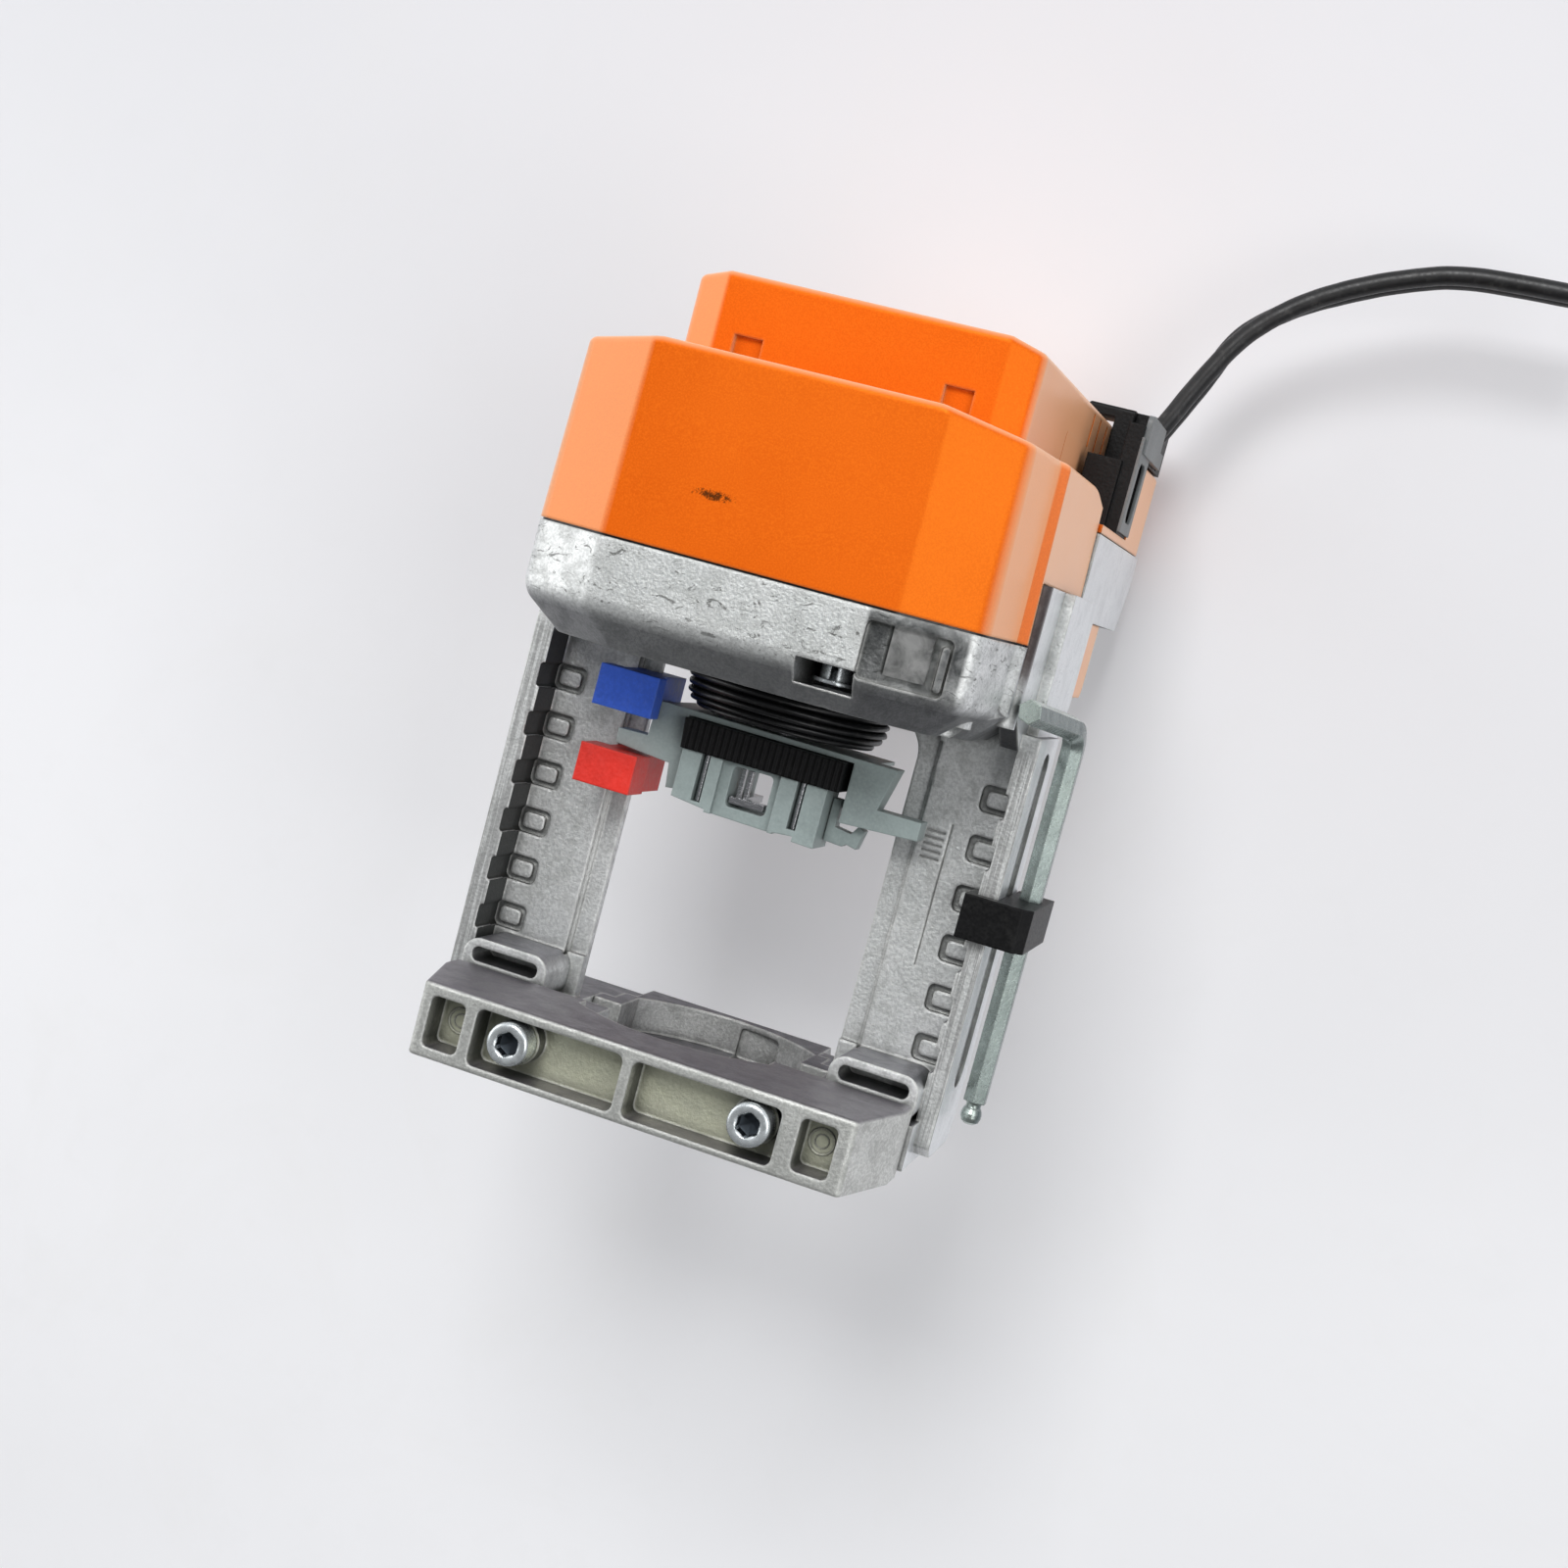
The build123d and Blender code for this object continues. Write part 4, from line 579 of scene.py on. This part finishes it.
def revolve(profile, steps, centre=(0, 0, 0), axis="z", radius_at=None):
    """Closed profile of (radius, height) turned about the z or y axis."""
    verts, faces = [], []
    count = len(profile)
    for k in range(steps):
        angle = 2 * math.pi * k / steps
        for radius, height in profile:
            reach = radius if radius_at is None else radius_at(radius, height, angle)
            across, along = reach * math.cos(angle), reach * math.sin(angle)
            if axis == "z":
                verts.append((centre[0] + across, centre[1] + along, centre[2] + height))
            else:
                verts.append((centre[0] + across, centre[1] + height, centre[2] + along))
    for k in range(steps):
        k2 = (k + 1) % steps
        for i in range(count):
            i2 = (i + 1) % count
            faces.append((k * count + i, k2 * count + i, k2 * count + i2, k * count + i2))
    return verts, faces


def tube(path, sides, radius_at):
    """Capped round tube along a list of points; radius_at takes point index and angle."""
    verts, faces = [], []
    last = len(path) - 1
    for i, point in enumerate(path):
        tangent = (path[min(i + 1, last)] - path[max(i - 1, 0)]).normalized()
        side = tangent.cross(Vector((0, 1, 0))).normalized()
        upward = side.cross(tangent).normalized()
        for k in range(sides):
            angle = 2 * math.pi * k / sides
            offset = side * math.cos(angle) + upward * math.sin(angle)
            verts.append(point + offset * radius_at(i, angle))
    for i in range(last):
        for k in range(sides):
            k2 = (k + 1) % sides
            faces.append((i * sides + k, i * sides + k2, (i + 1) * sides + k2, (i + 1) * sides + k))
    faces.append(tuple(range(sides)))
    faces.append(tuple(last * sides + k for k in range(sides)))
    return verts, faces


def catmull(points, per):
    """Catmull-Rom curve through the points with `per` steps in each span."""
    curve = []
    p = [points[0] * 2 - points[1]] + points + [points[-1] * 2 - points[-2]]
    for i in range(1, len(p) - 2):
        before, start, end, after = p[i - 1:i + 3]
        for k in range(per):
            t = k / per
            curve.append(0.5 * ((2 * start) + (end - before) * t
                                + (2 * before - 5 * start + 4 * end - after) * t * t
                                + (3 * start - before - 3 * end + after) * t ** 3))
    curve.append(p[-2])
    return curve


# ------------------------------------------------------------------ bellows
# (radius, height) in mm, from the top down
BELLOWS_TOP, BELLOWS_BOTTOM = 98.7, 89.5
PLEATS = [(24.5, 97.4), (24.6, 95.6), (24.2, 93.8), (23.2, 92.1), (21.6, 90.6)]
ROOTS = [(22.6, 98.35), (22.5, 96.5), (22.3, 94.7), (21.6, 92.95), (20.2, 91.3), (18.6, 89.8)]
NOSE_RADIUS, NOSE_HALF_HEIGHT = 0.62, 0.70
ROOT_WALL = 2.4


def bellows_profile():
    """Closed (radius, height) section in mm: down the pleats outside, back up inside."""
    outer = [(23.8, BELLOWS_TOP)]
    for root, (radius, height) in zip(ROOTS, PLEATS):
        outer.append(root)
        for k in range(9):
            angle = math.pi / 2 - math.pi * k / 8
            outer.append((radius - NOSE_RADIUS + NOSE_RADIUS * math.cos(angle),
                          height + NOSE_HALF_HEIGHT * math.sin(angle)))
    outer += [ROOTS[-1], (18.2, BELLOWS_BOTTOM)]
    inner = [(9.0, BELLOWS_BOTTOM), (9.0, BELLOWS_BOTTOM + 0.9), (16.2, BELLOWS_BOTTOM + 1.1)]
    inner += [(radius - ROOT_WALL, height + 0.2) for radius, height in reversed(ROOTS[1:-1])]
    inner += [(17.0, BELLOWS_TOP - 0.6), (17.0, BELLOWS_TOP)]
    return outer + inner


def bellows_wobble(radius, height, angle):
    """Slight unevenness of the outer wall."""
    wave = (0.00020 * math.sin(2 * angle + height * 900)
            + 0.00009 * math.sin(5 * angle + height * 2100))
    return radius + wave * (1 if radius > 0.0175 else 0)


def build_bellows():
    """Thin-walled rubber bellows with five soft-nosed pleats, pressed close together."""
    profile = [(radius * MM, height * MM) for radius, height in bellows_profile()]
    verts, faces = revolve(profile, steps=144, radius_at=bellows_wobble)
    verts = [Vector(vert) for vert in verts]
    for vert in verts:
        # the lower pleats sag and lean a little to one side
        weight = max(0.0, min(1.0, (0.0979 - vert.z) / 0.0078))
        angle = math.atan2(vert.y, vert.x)
        vert.x += 0.00050 * weight
        vert.z += 0.00032 * math.sin(angle + 0.5) * math.sin(math.pi * min(1.0, weight))
        vert.z += 0.00012 * math.sin(3 * angle + 1.0) * math.sin(math.pi * min(1.0, weight))
    obj = mesh_object("bellows_pleated", verts, faces, RUBBER, None, angle=1.2)
    subdivision = obj.modifiers.new("sub", "SUBSURF")
    subdivision.levels = subdivision.render_levels = 1
    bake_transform(obj)
    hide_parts("bellows")


build_bellows()


# ------------------------------------------------------------------ socket-head clamp screws
SCREW_X, SCREW_Z = 0.0287, 0.0093
SCREW_FRONT = -0.0518
SCREW_END = -0.0068
SCREW_STEPS = 144
THREAD_START = 0.0105  # behind the head front
THREAD_PITCH = 0.001
THREAD_ROOT, THREAD_CREST = 0.00262, 0.00297


def circle(radius):
    return lambda angle: radius


def hexagon(inner_radius):
    def radius_at(angle):
        from_flat = (angle + math.pi / 6) % (math.pi / 3) - math.pi / 6
        return inner_radius / math.cos(from_flat)
    return radius_at


def socket_mouth(angle):
    """Socket hexagon with a round chamfer cutting into its flats."""
    return max(0.00285, hexagon(0.00255)(angle))


def knurled(angle):
    return 0.005 - 0.00011 * (1 - abs(math.sin(angle * 36)))


# (distance behind the head front, outline), from the socket bottom over the rim to the shank
HEAD_ROWS = [
    (0.0034, circle(0.00010)), (0.0031, hexagon(0.0019)), (0.0029, hexagon(0.0025)),
    (0.00045, hexagon(0.0025)), (0.0001, socket_mouth), (0.00002, circle(0.0031)),
    (0.0, circle(0.0038)), (0.00004, circle(0.00425)), (0.00022, circle(0.00462)),
    (0.00055, circle(0.00488)), (0.0009, circle(0.00494)), (0.0012, knurled),
    (0.0050, knurled), (0.0053, circle(0.00492)), (0.0058, circle(0.00488)),
    (0.006, circle(0.0047)), (0.006, circle(0.0030)), (0.010, circle(0.00298)),
]


def socket_screw(side, x):
    """Screw along Y, head towards -Y: knurled side, hexagon socket, ridged thread."""
    rows = [(SCREW_FRONT + depth, outline) for depth, outline in HEAD_ROWS]
    y = SCREW_FRONT + THREAD_START
    while y < SCREW_END:
        rows.append((y, circle(THREAD_ROOT)))
        rows.append((y + 0.0005, circle(THREAD_CREST)))
        y += THREAD_PITCH
    rows.append((SCREW_END, circle(0.0026)))
    rows.append((SCREW_END, circle(0.0001)))

    verts, faces = [], []
    for y, outline in rows:
        for k in range(SCREW_STEPS):
            angle = 2 * math.pi * k / SCREW_STEPS
            radius = outline(angle)
            verts.append((x + radius * math.cos(angle), y, SCREW_Z + radius * math.sin(angle)))
    last = (len(rows) - 1) * SCREW_STEPS
    for a in range(0, last, SCREW_STEPS):
        b = a + SCREW_STEPS
        for k in range(SCREW_STEPS):
            k2 = (k + 1) % SCREW_STEPS
            faces.append((a + k, a + k2, b + k2, b + k))
    faces.append(tuple(range(SCREW_STEPS)))
    faces.append(tuple(last + k for k in range(SCREW_STEPS)))

    obj = mesh_object(f"clamp_screw_{side}_knurled", verts, faces, ZINC, f"screw_{side}",
                      angle=0.7)
    obj.data.materials.append(SOCKET)
    for face in obj.data.polygons:
        centre = face.center
        in_socket = math.hypot(centre.x - x, centre.z - SCREW_Z) < 0.0027
        if in_socket and SCREW_FRONT + 0.0006 < centre.y < SCREW_FRONT + 0.0045:
            face.material_index = 1
    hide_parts(f"clamp_screw_{side}")


socket_screw("left", -SCREW_X)
socket_screw("right", SCREW_X)


# ------------------------------------------------------------------ rings in the bar's small pockets
RING_Y, RING_Z = -41.6, 8.6  # mm
RINGS = [(2.55, 3.15, 0.35), (1.35, 1.75, 0.25)]  # inner radius, outer radius, height in mm


def pocket_ring(name, x):
    """Two concentric raised rings on the pocket floor, standing out towards -Y."""
    verts, faces = [], []
    for inner, outer, height in RINGS:
        profile = [(inner, 0.12), (inner + 0.08, -height + 0.08), (inner + 0.2, -height),
                   (outer - 0.2, -height), (outer - 0.08, -height + 0.08), (outer, 0.12)]
        ring_verts, ring_faces = revolve([(r * MM, h * MM) for r, h in profile], steps=56,
                                         centre=(x * MM, RING_Y * MM, RING_Z * MM), axis="y")
        first = len(verts)
        verts += ring_verts
        faces += [tuple(i + first for i in face) for face in ring_faces]
    mesh_object(name, verts, faces, CAST_BAR, "clamp_jaw", angle=0.8)


pocket_ring("pocket_ring_left", x=-44.2)
pocket_ring("pocket_ring_right", x=43.4)


# ------------------------------------------------------------------ cables
# x, z in mm, then the shift of x and z per mm of bow
CABLE_STATIONS = [
    (50.2, 178.5, 0, 0), (52.4, 183.0, 0, 0), (55.6, 188.6, 0, 0), (61.8, 202.0, 0, 0),
    (69.5, 215.5, -1, 0.5), (79.4, 225.4, -0.5, 0.3), (91.2, 232.9, 0, 0),
    (106.2, 239.4, 0, 0), (121.8, 243.4, 0, 0), (150.0, 244.6, 0, 0),
]
CABLE_RADIUS = 0.0025
CORE_RADIUS = 0.0008
CORE_OFFSET = 0.00105  # from the cable's middle line
CORE_COLORS = {"a": (120, 74, 40), "b": (40, 70, 150), "c": (190, 190, 186)}


def build_cable(node, y, bow):
    """Sheathed cable in a plane of constant y, rising to the right, with three bare cores."""
    name = f"{node}_sheath"
    path = catmull([Vector((x + bow * x_shift, y, z + bow * z_shift)) * MM
                    for x, z, x_shift, z_shift in CABLE_STATIONS], per=14)
    verts, faces = tube(path, sides=28,
                        radius_at=lambda i, angle: CABLE_RADIUS + 0.00002 * math.sin(i * 0.9 + angle))
    obj = mesh_object(name, verts, faces, SHEATH, "actuator_body", angle=1.0)
    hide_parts(node)
    # cores showing at the cut end
    tip = path[-1]
    direction = (tip - path[-3]).normalized()
    for k, (label, color) in enumerate(CORE_COLORS.items()):
        angle = 2 * math.pi * k / 3 + 0.4
        offset = Vector((0, math.cos(angle), math.sin(angle))) * CORE_OFFSET
        core = [tip + offset - direction * 0.002, tip + offset + direction * 0.0015,
                tip + offset * 1.1 + direction * 0.0042]
        verts, faces = tube(catmull(core, per=5), sides=14, radius_at=lambda i, a: CORE_RADIUS)
        material = moulded(f"core_{name}_{label}", color, roughness=0.35, grain=0.05)
        mesh_object(f"{name}_core_{label}", verts, faces, material, "actuator_body",
                    angle=1.0)


build_cable("cable_a", y=94.2, bow=0.0)
build_cable("cable_b", y=99.7, bow=1.4)


# ------------------------------------------------------------------ floor
FLOOR_Y = 0.130
FLOOR_HALF = 3.0


def floor_material():
    """Pale paper with painted shade towards the top, seen from the front only."""
    mat = Material("floor_paper")
    drift = mat.noise(scale=3.0, detail=5, roughness=0.55, distortion=0.5)
    mottle = mat.noise(scale=45, detail=5, roughness=0.7)
    mat.begin(mat.ramp(drift, start=0.3, end=0.7), srgb(216, 216, 218), srgb(225, 225, 227))
    mat.paint(mat.ramp(mottle, start=0.55, end=0.75), srgb(205, 205, 204), strength=0.10)
    # painted shade: the paper darkens towards the top
    height = mat.plus(mat.axis("Z", scale=1.0), 0.5)
    mat.paint(mat.ramp(height, start=0.45, end=0.95), srgb(190, 190, 194), strength=0.90)
    smudges = mat.noise(scale=9.0, detail=6, roughness=0.7, distortion=1.5)
    mat.paint(mat.ramp(smudges, start=0.52, end=0.72), srgb(206, 204, 198), strength=0.10)
    mat.finish(roughness=0.55, specular=0.3, emission=(0.93, 0.935, 0.95, 1),
               emission_strength=0.13)
    # the back of the sheet is transparent
    clear = mat.node("ShaderNodeBsdfTransparent")
    mixer = mat.node("ShaderNodeMixShader")
    mat.link(mat.geometry["Backfacing"], mixer.inputs[0])
    mat.link(mat.shader.outputs[0], mixer.inputs[1])
    mat.link(clear.outputs[0], mixer.inputs[2])
    mat.link(mixer.outputs[0], mat.output.inputs[0])
    return mat.material


def build_floor():
    """Upright sheet behind the product, facing -Y."""
    mesh = bpy.data.meshes.new("floor")
    corners = [(-1, -1), (1, -1), (1, 1), (-1, 1)]
    mesh.from_pydata([(x * FLOOR_HALF, FLOOR_Y, z * FLOOR_HALF) for x, z in corners], [],
                     [(0, 1, 2, 3)])
    mesh.materials.append(floor_material())
    floor = bpy.data.objects.new("floor", mesh)
    SCENE.collection.objects.link(floor)


build_floor()


# ------------------------------------------------------------------ world
# position from straight down (0) to straight up (1), colour
SKY_BOTTOM = (0.0, (0.07, 0.072, 0.075, 1))
SKY_MIDDLE = (0.5, (0.24, 0.245, 0.255, 1))
SKY_TOP = (1.0, (0.60, 0.61, 0.63, 1))


def build_world():
    """Grey sky, lighter upwards, brighter to the left and right."""
    world = bpy.data.worlds.new("world")
    SCENE.world = world
    world.use_nodes = True
    tree = world.node_tree
    tree.nodes.clear()
    link = tree.links.new

    def math_node(operation, **inputs):
        node = tree.nodes.new("ShaderNodeMath")
        node.operation = operation
        for index, key in enumerate(("power", "factor", "addend")):
            if key in inputs:
                node.inputs[max(index, 1)].default_value = inputs[key]
        return node

    output = tree.nodes.new("ShaderNodeOutputWorld")
    background = tree.nodes.new("ShaderNodeBackground")
    coords = tree.nodes.new("ShaderNodeTexCoord")
    split = tree.nodes.new("ShaderNodeSeparateXYZ")
    ramp = tree.nodes.new("ShaderNodeValToRGB")
    elements = ramp.color_ramp.elements
    elements[0].position, elements[0].color = SKY_BOTTOM
    elements[1].position, elements[1].color = SKY_TOP
    elements.new(SKY_MIDDLE[0]).color = SKY_MIDDLE[1]
    link(coords.outputs["Generated"], split.inputs[0])
    # colour from z, moved from -1..1 to 0..1
    height = math_node("MULTIPLY_ADD", factor=0.5, addend=0.5)
    link(split.outputs[2], height.inputs[0])
    link(height.outputs[0], ramp.inputs[0])
    link(ramp.outputs[0], background.inputs[0])
    # strength from the square of x
    square = math_node("POWER", power=2.0)
    absolute = math_node("ABSOLUTE")
    gain = math_node("MULTIPLY_ADD", factor=1.5, addend=0.8)
    link(split.outputs[0], absolute.inputs[0])
    link(absolute.outputs[0], square.inputs[0])
    link(square.outputs[0], gain.inputs[0])
    link(gain.outputs[0], background.inputs[1])
    link(background.outputs[0], output.inputs[0])


build_world()


# ------------------------------------------------------------------ lights and camera
def area_light(name, location, target, size, power):
    light = bpy.data.lights.new(name, "AREA")
    light.shape = "RECTANGLE"
    light.size, light.size_y = size
    light.energy = power
    light.color = (1, 1, 1)
    obj = bpy.data.objects.new(name, light)
    obj.location = location
    obj.rotation_mode = "QUATERNION"
    obj.rotation_quaternion = (Vector(location) - Vector(target)).to_track_quat("Z", "Y")
    SCENE.collection.objects.link(obj)


area_light("key", location=(-0.10, -1.80, 1.25), target=(0, 0.05, 0.1),
           size=(0.85, 0.85), power=28.5)
area_light("left_box", location=(-1.05, -0.42, 0.20), target=(-0.03, 0.0, 0.12),
           size=(0.7, 0.9), power=3.5)
area_light("right_box", location=(0.78, -0.95, 0.15), target=(0.04, 0.0, 0.12),
           size=(0.6, 0.8), power=4.9)

# camera axes in the world
CAMERA_RIGHT = (0.93013201, 0.26296883, 0.25632369)
CAMERA_UP = (-0.27232535, 0.02566962, 0.96186276)
CAMERA_BACK = (0.24636019, -0.96446279, 0.09548922)
CAMERA_PLACE = (0.132577, -0.503800, 0.126813)


def build_camera():
    lens = bpy.data.cameras.new("camera")
    lens.lens = 50.70
    lens.sensor_width = 36
    lens.clip_start, lens.clip_end = 0.01, 20
    camera = bpy.data.objects.new("camera", lens)
    turn = Matrix((CAMERA_RIGHT, CAMERA_UP, CAMERA_BACK)).transposed()
    camera.matrix_world = Matrix.Translation(CAMERA_PLACE) @ turn.to_4x4()
    SCENE.collection.objects.link(camera)
    SCENE.camera = camera


build_camera()
SCENE.view_settings.view_transform = "Standard"

bpy.context.view_layer.update()
